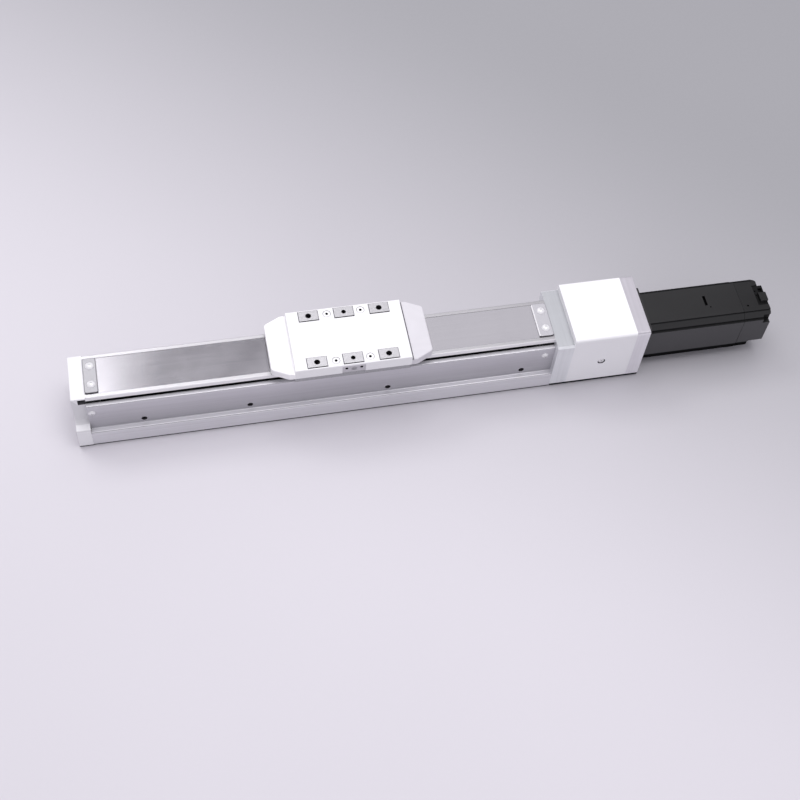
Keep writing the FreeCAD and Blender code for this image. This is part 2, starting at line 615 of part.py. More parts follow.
node(group("housing_bolts", [
    cap_screw(d("plate_x1") - 4.6, s * d("bolt_y"), d("bolt_hi"), TOX, 3.5, 4.0, d("m4_r"), d("plate_x1") - 4.6 - d("bolt_x0"), 1.75)
    for s in (1, -1)] + [
    cap_screw(d("plate_x1") - 4.6, s * d("bolt_y"), d("bolt_lo") + 5, TOX, 3.5, 4.0, d("m4_r"), 40.0, 1.75)
    for s in (1, -1)]))
node(group("motor_screws", [
    cap_screw(d("house_x1") + 3.4, s * 15.6, AZ + t * 15.6, Rotation(Vector(0, 1, 0), -90), 2.75, 3.0, 1.5, 10.0, 1.4)
    for s in (1, -1) for t in (1, -1)]))

# plug in the access hole
b = node(body("access_plug"))
pad(b, circ(sketch(b, "XZ_Plane", bw - 5), d("plug_x"), d("plug_z"), d("plug_r")), 2.4)
pad(b, circ(sketch(b, "XZ_Plane", bw - 2.6), d("plug_x"), d("plug_z"), d("plug_r") - 0.6), 2.3)
dress(b, "Fillet", lambda e: e.BoundBox.YMax < -26.1, 0.7)
sk = sketch(b, "XZ_Plane", bw - 0.3)
poly(sk, [(d("plug_x") + 0.9 * math.cos(k * math.pi / 3), d("plug_z") + 0.9 * math.sin(k * math.pi / 3)) for k in range(6)])
cut(b, sk, 1.6)

# ---------------------------------------------------------------- guide rails
for label, s in (("guide_rail_front", -1), ("guide_rail_rear", 1)):
    b = node(body(label))
    pad(b, poly(sketch(b, "YZ_Plane", d("grail_x0")), [
        (s * d("grail_in"), d("seat_z0")), (s * d("seat_hw"), d("seat_z0")),
        (s * d("seat_hw"), d("seat_z1")), (s * d("grail_in"), d("seat_z1"))]), d("grail_x1") - d("grail_x0"))
    sk = sketch(b, "YZ_Plane", d("grail_x0"))
    circ(sk, s * d("row_y"), d("row_lo"), d("row_r"))
    circ(sk, s * d("row_y"), d("row_hi"), d("row_r"))
    cut(b, sk, 400.0, True)

# ---------------------------------------------------------------- bearings
J = d("jour_r")
node(name(ring(d("sbear_x0"), d("sbear_x1"), 6.7, d("sbear_r")), "support_bearing_outer"))
node(name(ring(d("sbear_x0"), d("sbear_x1"), J, 5.2), "support_bearing_inner"))
node(group("support_bearing_balls", ball_ring(-241.5, 5.95, 0.65, 12)))
node(group("fixed_bearing_outer", [ring(d("fbear_x0"), 89.95, 9.3, d("fbear_r")), ring(90.05, d("fbear_x1"), 9.3, d("fbear_r"))]))
node(group("fixed_bearing_inner", [ring(d("fbear_x0"), 89.95, J, 5.9), ring(90.05, d("fbear_x1"), J, 5.9)]))
node(group("fixed_bearing_balls", ball_ring(86.5, 7.6, 1.5, 9) + ball_ring(93.5, 7.6, 1.5, 9)))
ret = ring(d("fbear_x1"), d("ret_x1"), 8.2, 14.8)
holes = [cyl(90.0, 13.0 * math.cos(math.pi / 4 + k * math.pi / 2), AZ + 13.0 * math.sin(math.pi / 4 + k * math.pi / 2), 1.35, 20.0, TOX) for k in range(4)]
node(name(minus(ret, *holes), "bearing_retainer"))
node(group("retainer_screws", [
    cap_screw(d("ret_x1"), 13.0 * math.cos(math.pi / 4 + k * math.pi / 2), AZ + 13.0 * math.sin(math.pi / 4 + k * math.pi / 2), TOX, 1.7, 1.6, 1.25, 9.0, 0.9)
    for k in range(4)]))
lock = doc.addObject("Part::Prism", "lock_hex")
lock.Polygon = 6
size(lock, Circumradius=7.6, Height=4.8)
place(lock, d("fbear_x1") + 0.2, 0, AZ, TOX)
node(name(minus(lock, cyl(90.0, 0, AZ, J, 20.0, TOX)), "bearing_lock_nut"))
node(name(ring(d("tongue_x1"), d("tongue_x1") + 15.0, 6.2, 9.2), "left_bumper"))
node(name(ring(d("tongue_x2") - 14.8, d("tongue_x2"), 6.2, 9.2), "right_bumper"))

# ---------------------------------------------------------------- ball screw
b = node(body("ball_screw"))
sk = sketch(b, "XZ_Plane", 0.0, AZ)
poly(sk, [(d("jour_x0"), 0), (d("tail_x1"), 0), (d("tail_x1"), d("tail_r")), (d("jour_x1"), d("tail_r")),
          (d("jour_x1"), J), (d("fbear_x0"), J), (d("fbear_x0"), d("screw_r")), (d("sbear_x1"), d("screw_r")),
          (d("sbear_x1"), J), (d("jour_x0"), J)])
turn(b, sk)
sk = sketch(b, "XZ_Plane", 0.0, AZ)
circ(sk, d("thread_x0"), d("groove_c"), d("groove_r"))
before = b.Shape.Volume
h = b.newObject("PartDesign::SubtractiveHelix", "thread")
h.Profile = sk
h.ReferenceAxis = (sk, ["H_Axis"])
h.Mode = "pitch-height-angle"
h.Pitch = NUM["lead"]
h.setExpression("Pitch", "dims.lead")
h.Height = NUM["thread_x1"] - NUM["thread_x0"]
h.setExpression("Height", "dims.thread_x1 - dims.thread_x0")
doc.recompute()
if not b.Shape.Volume < before - 100:
    raise RuntimeError("the thread cut nothing")

# ---------------------------------------------------------------- carriage
SX = d("slide_x")
X0, X1 = SX - 0.5 * d("table_l"), SX + 0.5 * d("table_l")
b = node(body("carriage_block"))
half = [(d("carr_hw"), d("carr_z0")), (d("carr_hw"), d("carr_sh_z")), (d("carr_top_hw"), d("carr_sh_z")),
        (d("carr_top_hw"), d("web_z0")), (d("ridge_out"), d("web_z0")), (d("ridge_out"), d("table_z0")),
        (d("ridge_in"), d("table_z0")), (d("ridge_in"), d("web_z1"))]
pad(b, poly(sketch(b, "YZ_Plane", X0), half + [(-u, v) for u, v in reversed(half)]), d("table_l"))
sk = sketch(b, "YZ_Plane", X0)
for s in (1, -1):
    for r in ("row_lo", "row_hi"):
        circ(sk, s * d("row_y"), d(r), d("row_r"))
circ(sk, 0, AZ, d("nut_r"))
cut(b, sk, 200.0, True)
sk = sketch(b, "XY_Plane", d("table_z0"))
for s in (1, -1):
    for t in (1, -1):
        circ(sk, SX + t * d("tscrew_dx"), s * d("tscrew_y"), d("tscrew_r"))
cut(b, sk, 7.0)

N0, N1 = SX - 0.5 * d("nut_l"), SX + 0.5 * d("nut_l")
node(name(ring(N0, N1, d("nut_in"), d("nut_r")), "ball_nut"))
node(group("nut_return_caps", [ring(N0 - d("ncap_l"), N0, d("ncap_in"), d("nut_r")), ring(N1, N1 + d("ncap_l"), d("ncap_in"), d("nut_r"))]))
# balls along the thread: the groove's angle about the axis at station x
balls = []
per = 8
turns = 2
for i in range(per * turns):
    x = NUM["slide_x"] - 10.0 + 10.0 * i / per
    ang = 2 * math.pi * (x - NUM["thread_x0"]) / NUM["lead"]
    # the groove starts above the axis and turns with the right-hand rule about +X
    balls.append(ball(x, -NUM["groove_c"] * math.sin(ang), AZ + NUM["groove_c"] * math.cos(ang), d("nball_r")))
node(group("nut_balls", balls))
rows = []
for s in (1, -1):
    for r in ("row_lo", "row_hi"):
        for k in range(10):
            rows.append(ball(SX - 31.5 + 7.0 * k, s * d("row_y"), d(r), d("gball_r")))
node(group("guide_balls", rows))

b = node(body("slide_table"))
tw = d("table_hw")
pad(b, rect(sketch(b, "XY_Plane", d("table_z0")), X0, X1, -tw, tw), d("table_z1") - d("table_z0"))
dress(b, "Fillet", level(60.6), 0.7)
sk = sketch(b, "XY_Plane", d("table_z1") - 0.5)
for i in (-1, 0, 1):
    for s in (1, -1):
        cx, cy = SX + i * d("pad_pitch"), s * d("pad_y")
        rect(sk, cx - 0.5 * d("pad_l"), cx + 0.5 * d("pad_l"), cy - 0.5 * d("pad_w"), cy + 0.5 * d("pad_w"))
pad(b, sk, d("pad_z") - d("table_z1") + 0.5)
# narrow groove around each pad
sk = sketch(b, "XY_Plane", d("table_z1"))
for i in (-1, 0, 1):
    for s in (1, -1):
        cx, cy = SX + i * d("pad_pitch"), s * d("pad_y")
        for m in (0.0, d("moat_w")):
            rect(sk, cx - 0.5 * d("pad_l") - m, cx + 0.5 * d("pad_l") + m, cy - 0.5 * d("pad_w") - m, cy + 0.5 * d("pad_w") + m)
cut(b, sk, d("moat_d"))
sk = sketch(b, "XY_Plane", d("pad_z"))
for i in (-1, 0, 1):
    for s in (1, -1):
        circ(sk, SX + i * d("pad_pitch"), s * d("pad_y"), d("m5_r") if i else d("m4t_r"))
cut(b, sk, d("m5_d"))
sk = sketch(b, "XY_Plane", d("table_z1"))
for t in (1, -1):
    for s in (1, -1):
        circ(sk, SX + t * d("tscrew_dx"), s * d("tscrew_y"), d("tscrew_r"))
cut(b, sk, 20.0)
sk = sketch(b, "XY_Plane", d("table_z1"))
for t in (1, -1):
    for s in (1, -1):
        circ(sk, SX + t * d("tscrew_dx"), s * d("tscrew_y"), d("tscrew_cb"))
cut(b, sk, d("table_z1") - d("tscrew_cz"))
# recesses for the grease port plates, front and rear
for s in (1, -1):
    sk = rect(sketch(b, "XZ_Plane", s * (tw + 1)), SX - d("port_hl") - 0.1, SX + d("port_hl") + 0.1, d("table_z0") - 0.1, d("port_z1") + 0.1)
    cut(b, sk, d("port_d") + 1, s < 0)

for label, t in (("slide_end_left", -1), ("slide_end_right", 1)):
    b = node(body(label))
    xi = X0 if t < 0 else X1
    xo = xi + t * d("end_l")
    sk = sketch(b, "XY_Plane", d("table_z0"))
    poly(sk, [(xi, tw), (xo - t * d("cut_x"), tw), (xo, tw - d("cut_y")), (xo, -tw + d("cut_y")), (xo - t * d("cut_x"), -tw), (xi, -tw)])
    pad(b, sk, d("end_z") - d("table_z0"))
    dress(b, "Fillet", along("Z", [((xo - t * d("cut_x")).v, s * 25.4) for s in (1, -1)] + [(xo.v, s * 19.4) for s in (1, -1)]), 3.0)
    xin = xi.v
    dress(b, "Fillet", lambda e: level(57.4)(e) and not (abs(e.BoundBox.XMin - xin) < 0.02 and abs(e.BoundBox.XMax - xin) < 0.02), 0.9)
    # narrow joint against the table
    sk = rect(sketch(b, "XZ_Plane", tw + 1), xi - t * 0.5, xi + t * d("joint_w"), d("end_z") - d("joint_d"), d("end_z") + 1)
    cut(b, sk, 60.0)

node(group("strip_wipers", [block(X0 - 15.0, X0 - 11.0, -14.4, 14.4, 48.75, d("table_z0")), block(X1 + 11.0, X1 + 15.0, -14.4, 14.4, 48.75, d("table_z0"))]))
node(group("table_screws", [
    cap_screw(SX + t * d("tscrew_dx"), s * d("tscrew_y"), d("tscrew_cz"), Rotation(), 2.6, 2.9, d("tscrew_r"), 12.0, 1.15)
    for t in (1, -1) for s in (1, -1)]))
ports, nipples = [], []
for s in (1, -1):
    y0, y1 = (tw - d("port_d"), tw - 0.1) if s > 0 else (-tw + 0.1, -tw + d("port_d"))
    plate = block(SX - d("port_hl"), SX + d("port_hl"), y0, y1, d("port_z0"), d("port_z1"))
    tools = [cyl(SX + k, -40.0, 56.3, 1.1, 80.0, TOY) for k in (-5.3, 5.3)]
    tools.append(cyl(SX, -40.0, 55.4, 2.0, 80.0, TOY))
    ports.append(minus(plate, *tools))
    yb = tw - d("port_d") if s > 0 else -tw + 0.3
    nip = minus(cyl(SX, yb, 55.4, 1.95, d("port_d") - 0.3, TOY), cyl(SX, s * 25.4 - 0.5, 55.4, 0.7, 1.0, TOY))
    nipples.append(nip)
node(group("grease_port_plates", ports))
node(group("grease_nipples", nipples))

# ---------------------------------------------------------------- coupling
H0, H1, H2, H3, HR = d("hub_x0"), d("hub_x1"), d("hub_x2"), d("hub_x3"), d("hub_r")


def sector(x0, x1, start, sweep, r_in, r_out):
    """Piece of a ring about the screw axis, between two angles."""
    x0, x1 = val(x0), val(x1)
    o = size(doc.addObject("Part::Cylinder", uid("sector")), Radius=r_out, Height=x1 - x0)
    o.Angle = sweep
    place(o, x0, 0, AZ, TOX.multiply(Rotation(Vector(0, 0, 1), start)))
    return minus(o, cyl(x0 - 1, 0, AZ, r_in, x1 - x0 + 2, TOX))


S1, S2 = 0.5 * (H0 + H1), 0.5 * (H2 + H3)
hub = fuse(ring(H0, H1, d("tail_r"), HR), sector(H1, H2 - 1.0, 0, 50, 5.0, HR), sector(H1, H2 - 1.0, 180, 50, 5.0, HR))
node(name(minus(hub, cyl(S1, -2.0, AZ, 1.5, 12.0, TOMY), cyl(S1, 0, AZ + 2, 1.5, 12.0)), "coupling_hub_screw"))
hub = fuse(ring(H2, H3, J, HR), sector(H1 + 1.0, H2, 90, 50, 5.0, HR), sector(H1 + 1.0, H2, 270, 50, 5.0, HR))
node(name(minus(hub, cyl(S2, -2.0, AZ, 1.5, 12.0, TOMY), cyl(S2, 0, AZ + 2, 1.5, 12.0)), "coupling_hub_motor"))


def set_screw(x, y, z, rot, length):
    """Headless screw, its socket at the outer end."""
    out = rot.multVec(Vector(0, 0, 1))
    socket = doc.addObject("Part::Prism", uid("hex"))
    socket.Polygon = 6
    size(socket, Circumradius=0.85, Height=2.5)
    far = length - 2.0
    place(socket, val(x) + far * out.x, val(y) + far * out.y, val(z) + far * out.z, rot)
    return minus(cyl(x, y, z, 1.5, length, rot), socket)


node(group("coupling_set_screws", [
    set_screw(S1, -d("tail_r") - 0.1, AZ, TOMY, 7.5), set_screw(S1, 0, AZ + d("tail_r") + 0.1, Rotation(), 7.5),
    set_screw(S2, -J - 0.1, AZ, TOMY, 6.5), set_screw(S2, 0, AZ + J + 0.1, Rotation(), 6.5)]))
node(name(fuse(ring(H1 + 1.0, H2 - 1.0, 3.4, 5.0), *[sector(H1 + 1.0, H2 - 1.0, 50 + 90 * k, 40, 4.8, 11.6) for k in range(4)]), "coupling_spider"))

# ---------------------------------------------------------------- motor
b = node(body("motor_flange"))
fh = d("flange_hw")
pad(b, rect(sketch(b, "YZ_Plane", d("plate_x1")), -fh, fh, AZ - fh, AZ + fh), d("flange_x1") - d("plate_x1"))
dress(b, "Fillet", along("X", [(s * 20.0, 28.0 + t * 20.0) for s in (1, -1) for t in (1, -1)]), 2.0)
pad(b, circ(sketch(b, "YZ_Plane", d("pil_x0")), 0, AZ, d("pilot_r")), d("plate_x1") - d("pil_x0"))
cut(b, circ(sketch(b, "YZ_Plane", d("pil_x0")), 0, AZ, 5.5), 20.0, True)
sk = sketch(b, "YZ_Plane", d("plate_x1"))
for s in (1, -1):
    for t in (1, -1):
        circ(sk, s * 15.6, AZ + t * 15.6, 1.5)
cut(b, sk, 3.5, True)

mh, mc = d("motor_hw"), d("motor_cut")


def motor_section(sk, hwid, c, g, h):
    """Square, the upper corners bevelled with a small groove at both edges of
    each bevel, the lower corners set back by a step."""
    a = hwid - c
    t = hwid - d("step_w")
    q = [(hwid, -a), (hwid, a), (hwid - h, a), (hwid - h, a + h), (a + g, hwid - g), (a, hwid - g), (a, hwid)]
    q = [(t, -hwid), (t, -a)] + q
    ring_pts = q + [(-u, v) for u, v in reversed(q)]
    return poly(sk, [(u, AZ + v) for u, v in ring_pts])


b = node(body("motor_stator"))
pad(b, motor_section(sketch(b, "YZ_Plane", d("flange_x1")), mh, mc, d("groove_w"), d("groove_b")), d("stator_x1") - d("flange_x1"))
cut(b, circ(sketch(b, "YZ_Plane", d("flange_x1")), 0, AZ, 11.0), 7.5, True)
cut(b, circ(sketch(b, "YZ_Plane", d("flange_x1") + 7.5), 0, AZ, 14.5), 59.5, True)
cut(b, circ(sketch(b, "YZ_Plane", d("flange_x1") + 67), 0, AZ, 8.0), 20.0, True)
# slit and pin hole in the top face
sk = rect(sketch(b, "XY_Plane", AZ + mh), d("slit_x") - 1.1, d("slit_x") + 1.1, -3.6, 5.1)
circ(sk, d("slit_x") + 2.7, -5.4, 0.6)
cut(b, sk, 2.4)
sk = sketch(b, "YZ_Plane", d("stator_x1"))
for s in (1, -1):
    circ(sk, s * 14.3, AZ - 14.9, 1.2)
    circ(sk, s * 12.6, AZ + 13.0, 1.2)
cut(b, sk, 6.0)

b = node(body("encoder_cover"))
# set in a little at the front end, a fine seam against the stator
pad(b, motor_section(sketch(b, "YZ_Plane", d("stator_x1")), mh - 0.45, mc, d("groove_w"), d("groove_b")), d("seam_w") + 1)
pad(b, motor_section(sketch(b, "YZ_Plane", d("stator_x1") + d("seam_w")), mh - 0.15, mc, d("groove_w"), d("groove_b")), d("cov_x1") - d("stator_x1") - d("seam_w"))
# lower corners cut back for the cover screws
sk = sketch(b, "YZ_Plane", d("ear_x"))
for s in (1, -1):
    rect(sk, s * 11.6, s * 21.0, AZ - 21.0, AZ - 12.4)
cut(b, sk, 40.0, True)
# rear notches of the upper corners
cut(b, rect(sketch(b, "YZ_Plane", d("near_x")), -21.0, -15.4, AZ + 9.6, AZ + 16.0), 40.0, True)
cut(b, rect(sketch(b, "YZ_Plane", d("far_x")), 9.2, 21.0, AZ + 7.8, AZ + 21.0), 40.0, True)
dress(b, "Chamfer", along("Y", [(256.5, 9.15)]), 1.2)
cut(b, circ(sketch(b, "YZ_Plane", d("stator_x1")), 0, AZ, 15.4), 14.5, True)
sk = sketch(b, "YZ_Plane", d("stator_x1"))
for s in (1, -1):
    circ(sk, s * 14.3, AZ - 14.9, 1.2)
    circ(sk, s * 12.6, AZ + 13.0, 1.2)
cut(b, sk, 40.0, True)
cut(b, circ(sketch(b, "YZ_Plane", d("cov_x1")), -12.6, AZ + 13.0, 2.3), 2.6)
# small dimple in the top
cut(b, circ(sketch(b, "XY_Plane", AZ + mh), 240.2, -8.3, 0.9), 1.2)
# seat of the connector block
sk = rect(sketch(b, "YZ_Plane", d("plug_x0")), -9.0, 9.2, AZ + 15.7, AZ + 25.0)
cut(b, sk, 40.0, True)

node(group("encoder_cover_screws", [
    cap_screw(d("ear_x"), s * 14.3, AZ - 14.9, TOX, 2.1, 2.0, 1.2, d("ear_x") - 232.0, 1.05) for s in (1, -1)] + [
    cap_screw(x, y, AZ + 13.0, TOX, 2.1, 2.0, 1.2, x - 232.0, 1.05)
    for x, y in ((d("cov_x1") - 2.6, -12.6), (d("far_x"), 12.6))]))

# connector: low base with a raised plug box, one socket to the rear and one upward
b = node(body("motor_connector"))
pad(b, rect(sketch(b, "YZ_Plane", d("plug_x0")), -8.9, 8.7, AZ + 15.7, AZ + 18.6), d("plug_x1") - d("plug_x0"))
pad(b, rect(sketch(b, "YZ_Plane", d("plug_x0") + 2.1), -6.4, 1.2, AZ + 18.0, AZ + 20.9), d("plug_x1") - d("plug_x0") - 2.1)
dress(b, "Fillet", along("X", [(u, 48.9) for u in (-6.4, 1.2)]), 0.5)
cut(b, rect(sketch(b, "YZ_Plane", d("plug_x1")), -5.4, 0.2, AZ + 16.8, AZ + 19.9), 4.6)
sk = rect(sketch(b, "XY_Plane", AZ + 18.6), 252.4, 255.4, 2.2, 6.2)
circ(sk, 249.7, 0.3, 0.55)
circ(sk, 249.7, 4.0, 0.55)
cut(b, sk, 1.8)

node(name(cyl(d("shaft_x0"), 0, AZ, J, d("shaft_x1") - d("shaft_x0"), TOX), "motor_shaft"))
node(name(ring(174.0, 224.0, J, 10.0), "motor_rotor"))
node(name(ring(171.0, 227.0, 10.6, 14.5), "stator_coils"))
node(group("motor_bearings_outer", [ring(162.0, 169.0, 9.3, 11.0), ring(229.2, 234.2, 6.7, 8.0)]))
node(group("motor_bearings_inner", [ring(162.0, 169.0, J, 5.9), ring(229.2, 234.2, J, 5.2)]))
node(group("motor_bearing_balls", ball_ring(165.5, 7.6, 1.5, 9) + ball_ring(231.7, 5.95, 0.65, 12)))
node(name(ring(239.0, 240.5, J, 13.0), "encoder_disc"))
node(name(cyl(246.0, 0, AZ, 15.4, 1.6, TOX), "encoder_board"))

# ---------------------------------------------------------------- check and write
doc.recompute()
bad = [o.Name for o in doc.Objects if "Invalid" in o.State or "Error" in o.State]
if bad:
    raise RuntimeError("failed objects: " + ", ".join(bad))
for o in NODES:
    s = o.Shape
    if s.isNull() or not s.isValid() or not s.Solids:
        raise RuntimeError("bad shape: " + o.Label)
os.makedirs("parts", exist_ok=True)
for o in NODES:
    o.Shape.exportStep("parts/%s.step" % o.Label)
    print("%-24s solids %2d  volume %10.1f" % (o.Label, len(o.Shape.Solids), o.Shape.Volume))
print(len(NODES), "nodes")
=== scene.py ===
import math

import bmesh
import bpy
from mathutils import Matrix, Vector

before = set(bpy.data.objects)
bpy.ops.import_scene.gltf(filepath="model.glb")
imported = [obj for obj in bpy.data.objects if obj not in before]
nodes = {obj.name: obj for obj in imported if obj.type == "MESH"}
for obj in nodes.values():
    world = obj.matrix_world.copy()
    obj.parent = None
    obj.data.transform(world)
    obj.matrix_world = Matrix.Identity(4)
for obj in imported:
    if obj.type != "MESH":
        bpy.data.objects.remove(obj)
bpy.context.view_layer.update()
scene = bpy.context.scene
MM = 0.001

# Lengths in metres.  X runs along the screw towards the motor, Z is up.
SLIDE_X = -0.0603
AXIS_Z = 0.028


# ------------------------------------------------------------- material kit
class Finish:
    """A node material built from object-space patterns, sized in metres."""

    def __init__(self, name, rough=0.4, metal=0.0, color=None):
        self.m = bpy.data.materials.new(name)
        self.m.use_nodes = True
        self.t = self.m.node_tree
        self.p = self.t.nodes["Principled BSDF"]
        self.p.inputs["Roughness"].default_value = rough
        self.p.inputs["Metallic"].default_value = metal
        if color:
            self.p.inputs["Base Color"].default_value = (*color, 1.0)
        self.m.diffuse_color = (*(color or (0.6, 0.6, 0.6)), 1.0)
        self.where = self.t.nodes.new("ShaderNodeTexCoord").outputs["Object"]

    def node(self, kind, **props):
        n = self.t.nodes.new(kind)
        for k, v in props.items():
            setattr(n, k, v)
        return n

    def put(self, value, socket):
        if isinstance(value, bpy.types.NodeSocket):
            self.t.links.new(value, socket)
        else:
            socket.default_value = value

    def at(self, scale, shift=(0, 0, 0)):
        n = self.node("ShaderNodeMapping")
        n.inputs["Scale"].default_value = scale
        n.inputs["Location"].default_value = shift
        self.t.links.new(self.where, n.inputs["Vector"])
        return n.outputs["Vector"]

    def noise(self, scale, detail=3.0, rough=0.55, warp=0.0, shift=(0, 0, 0)):
        """Noise with its own number of cells per metre along each axis."""
        n = self.node("ShaderNodeTexNoise")
        n.inputs["Scale"].default_value = 1.0
        n.inputs["Detail"].default_value = detail
        n.inputs["Roughness"].default_value = rough
        n.inputs["Distortion"].default_value = warp
        s = scale if hasattr(scale, "__len__") else (scale,) * 3
        self.t.links.new(self.at(s, shift), n.inputs["Vector"])
        return n.outputs["Fac"]

    def cells(self, scale, out="Distance"):
        n = self.node("ShaderNodeTexVoronoi")
        n.inputs["Scale"].default_value = 1.0
        s = scale if hasattr(scale, "__len__") else (scale,) * 3
        self.t.links.new(self.at(s), n.inputs["Vector"])
        return n.outputs[out]

    def wave(self, scale, direction="X", warp=0.0, bands=True):
        n = self.node("ShaderNodeTexWave", wave_type="BANDS" if bands else "RINGS")
        if bands:
            n.bands_direction = direction
        else:
            n.rings_direction = direction
        n.inputs["Scale"].default_value = scale
        n.inputs["Distortion"].default_value = warp
        n.inputs["Detail"].default_value = 2.0
        self.t.links.new(self.where, n.inputs["Vector"])
        return n.outputs["Fac"]

    def ramp(self, fac, *stops):
        n = self.node("ShaderNodeValToRGB")
        els = n.color_ramp.elements
        while len(els) < len(stops):
            els.new(0.5)
        for e, (pos, c) in zip(els, stops):
            e.position = pos
            e.color = (*c, 1.0)
        self.put(fac, n.inputs["Fac"])
        return n.outputs["Color"]

    def span(self, fac, lo, hi, a=0.3, b=0.7):
        n = self.node("ShaderNodeMapRange")
        for k, v in (("From Min", a), ("From Max", b), ("To Min", lo), ("To Max", hi)):
            n.inputs[k].default_value = v
        self.put(fac, n.inputs["Value"])
        return n.outputs["Result"]

    def math(self, op, a, b=0.0):
        n = self.node("ShaderNodeMath", operation=op)
        self.put(a, n.inputs[0])
        self.put(b, n.inputs[1])
        return n.outputs[0]

    def mix(self, fac, a, b):
        n = self.node("ShaderNodeMix", data_type="RGBA")
        self.put(fac, n.inputs[0])
        for v, s in ((a, n.inputs[6]), (b, n.inputs[7])):
            self.put(v if isinstance(v, bpy.types.NodeSocket) else (*v, 1.0), s)
        return n.outputs[2]

    def multiply(self, a, b):
        n = self.node("ShaderNodeMix", data_type="RGBA", blend_type="MULTIPLY")
        n.inputs[0].default_value = 1.0
        self.put(a, n.inputs[6])
        self.put(b, n.inputs[7])
        return n.outputs[2]

    def axis(self, name):
        n = self.node("ShaderNodeSeparateXYZ")
        self.t.links.new(self.where, n.inputs[0])
        return n.outputs[name]

    def bump(self, height, depth, strength=1.0, under=None):
        n = self.node("ShaderNodeBump")
        n.inputs["Strength"].default_value = strength
        n.inputs["Distance"].default_value = depth
        self.t.links.new(height, n.inputs["Height"])
        if under is not None:
            self.t.links.new(under, n.inputs["Normal"])
        return n.outputs["Normal"]

    def edges(self, radius):
        """1 along the edges of the shape, 0 on its flats."""
        b = self.node("ShaderNodeBevel", samples=4)
        b.inputs["Radius"].default_value = radius
        g = self.node("ShaderNodeNewGeometry")
        v = self.node("ShaderNodeVectorMath", operation="DOT_PRODUCT")
        self.t.links.new(b.outputs["Normal"], v.inputs[0])
        self.t.links.new(g.outputs["Normal"], v.inputs[1])
        return self.span(v.outputs["Value"], 1.0, 0.0, 0.78, 0.995)

    def gloss(self, ior):
        self.p.inputs["IOR"].default_value = ior

    def done(self, color=None, rough=None, metal=None, normal=None):
        for v, k in ((color, "Base Color"), (rough, "Roughness"), (metal, "Metallic"), (normal, "Normal")):
            if v is not None:
                self.put(v, self.p.inputs[k])
        return self.m


def tone(c, k):
    return tuple(min(1.0, x * k) for x in c)


def powder(name, base, rough=(0.36, 0.48), peel=0.00006):
    """Powder coat: fine orange peel, slow drift of tone, thinner and duller on edges."""
    f = Finish(name, color=base)
    drift = f.noise(11.0, 2.0)
    speck = f.noise(1700.0, 2.0, 0.6)
    body = f.ramp(drift, (0.35, tone(base, 0.975)), (0.65, base))
    body = f.multiply(body, f.ramp(speck, (0.30, (0.965,) * 3), (0.55, (1.0,) * 3)))
    body = f.mix(f.math("MULTIPLY", f.edges(0.0006), 0.35), body, tone(base, 0.88))
    peel_n = f.bump(f.noise(620.0, 2.0, 0.5), peel, 0.5)
    return f.done(body, f.span(f.noise(260.0, 3.0), *rough), None, f.bump(speck, 0.00001, 0.6, peel_n))


def anodised(name, base, grain=(7.0, 950.0, 950.0), rough=(0.33, 0.46), metal=0.92, painted_light_falloff=None):
    """Satin anodised aluminium with the drawing lines of its own direction.
    The last argument, (axis, start, end, shade), paints a falloff of light: the tone runs from that shade at the
    start to full at the end."""
    f = Finish(name, metal=metal, color=base)
    lines = f.noise(grain, 4.0, 0.62)
    cloud = f.noise((16.0, 60.0, 60.0), 2.0)
    grit = f.noise(2600.0, 2.0, 0.6)
    body = f.ramp(lines, (0.30, tone(base, 0.91)), (0.70, tone(base, 1.03)))
    body = f.multiply(body, f.ramp(cloud, (0.35, (0.965,) * 3), (0.65, (1.0,) * 3)))
    if painted_light_falloff is not None:
        # painted falloff of light: the tone is scaled down along one axis
        along = f.span(f.axis(painted_light_falloff[0]), 0.0, 1.0, painted_light_falloff[1], painted_light_falloff[2])
        body = f.multiply(body, f.ramp(along, (0.0, (painted_light_falloff[3],) * 3), (1.0, (1.0,) * 3)))
    # edges painted lighter: part edge wear, part painted highlight
    body = f.mix(f.math("MULTIPLY", f.edges(0.0004), 0.5), body, tone(base, 1.12))
    r = f.math("ADD", f.span(lines, *rough), f.span(grit, -0.03, 0.03))
    n = f.bump(lines, 0.000012, 0.7)
    return f.done(body, r, None, f.bump(grit, 0.000006, 0.6, n))


def brushed(name, base, grain, rough=(0.20, 0.31), depth=0.000006):
    """Brushed sheet steel: hair lines along one axis and a few long scratches."""
    f = Finish(name, metal=1.0, color=base)
    hair = f.noise(grain, 5.0, 0.68)
    long = f.noise(tuple(g * 0.31 for g in grain), 1.0, shift=(3.1, 1.7, 0.4))
    body = f.ramp(hair, (0.28, tone(base, 0.94)), (0.72, tone(base, 1.03)))
    body = f.multiply(body, f.ramp(long, (0.30, (0.98,) * 3), (0.60, (1.0,) * 3)))
    r = f.math("ADD", f.span(hair, *rough), f.span(f.noise(35.0, 2.0), -0.02, 0.03))
    return f.done(body, r, None, f.bump(hair, depth, 0.7))


def machined(name, base, pitch=2100.0, direction="X", rough=(0.24, 0.38)):
    """Milled or turned metal with even cutter lines."""
    f = Finish(name, metal=1.0, color=base)
    cut = f.wave(pitch, direction, 0.6)
    grit = f.noise(1500.0, 3.0, 0.6)
    body = f.multiply(f.ramp(cut, (0.0, tone(base, 0.88)), (1.0, tone(base, 1.04))),
                      f.ramp(grit, (0.3, (0.90,) * 3), (0.7, (1.0,) * 3)))
    return f.done(body, f.span(grit, *rough), None, f.bump(cut, 0.000012, 0.5))


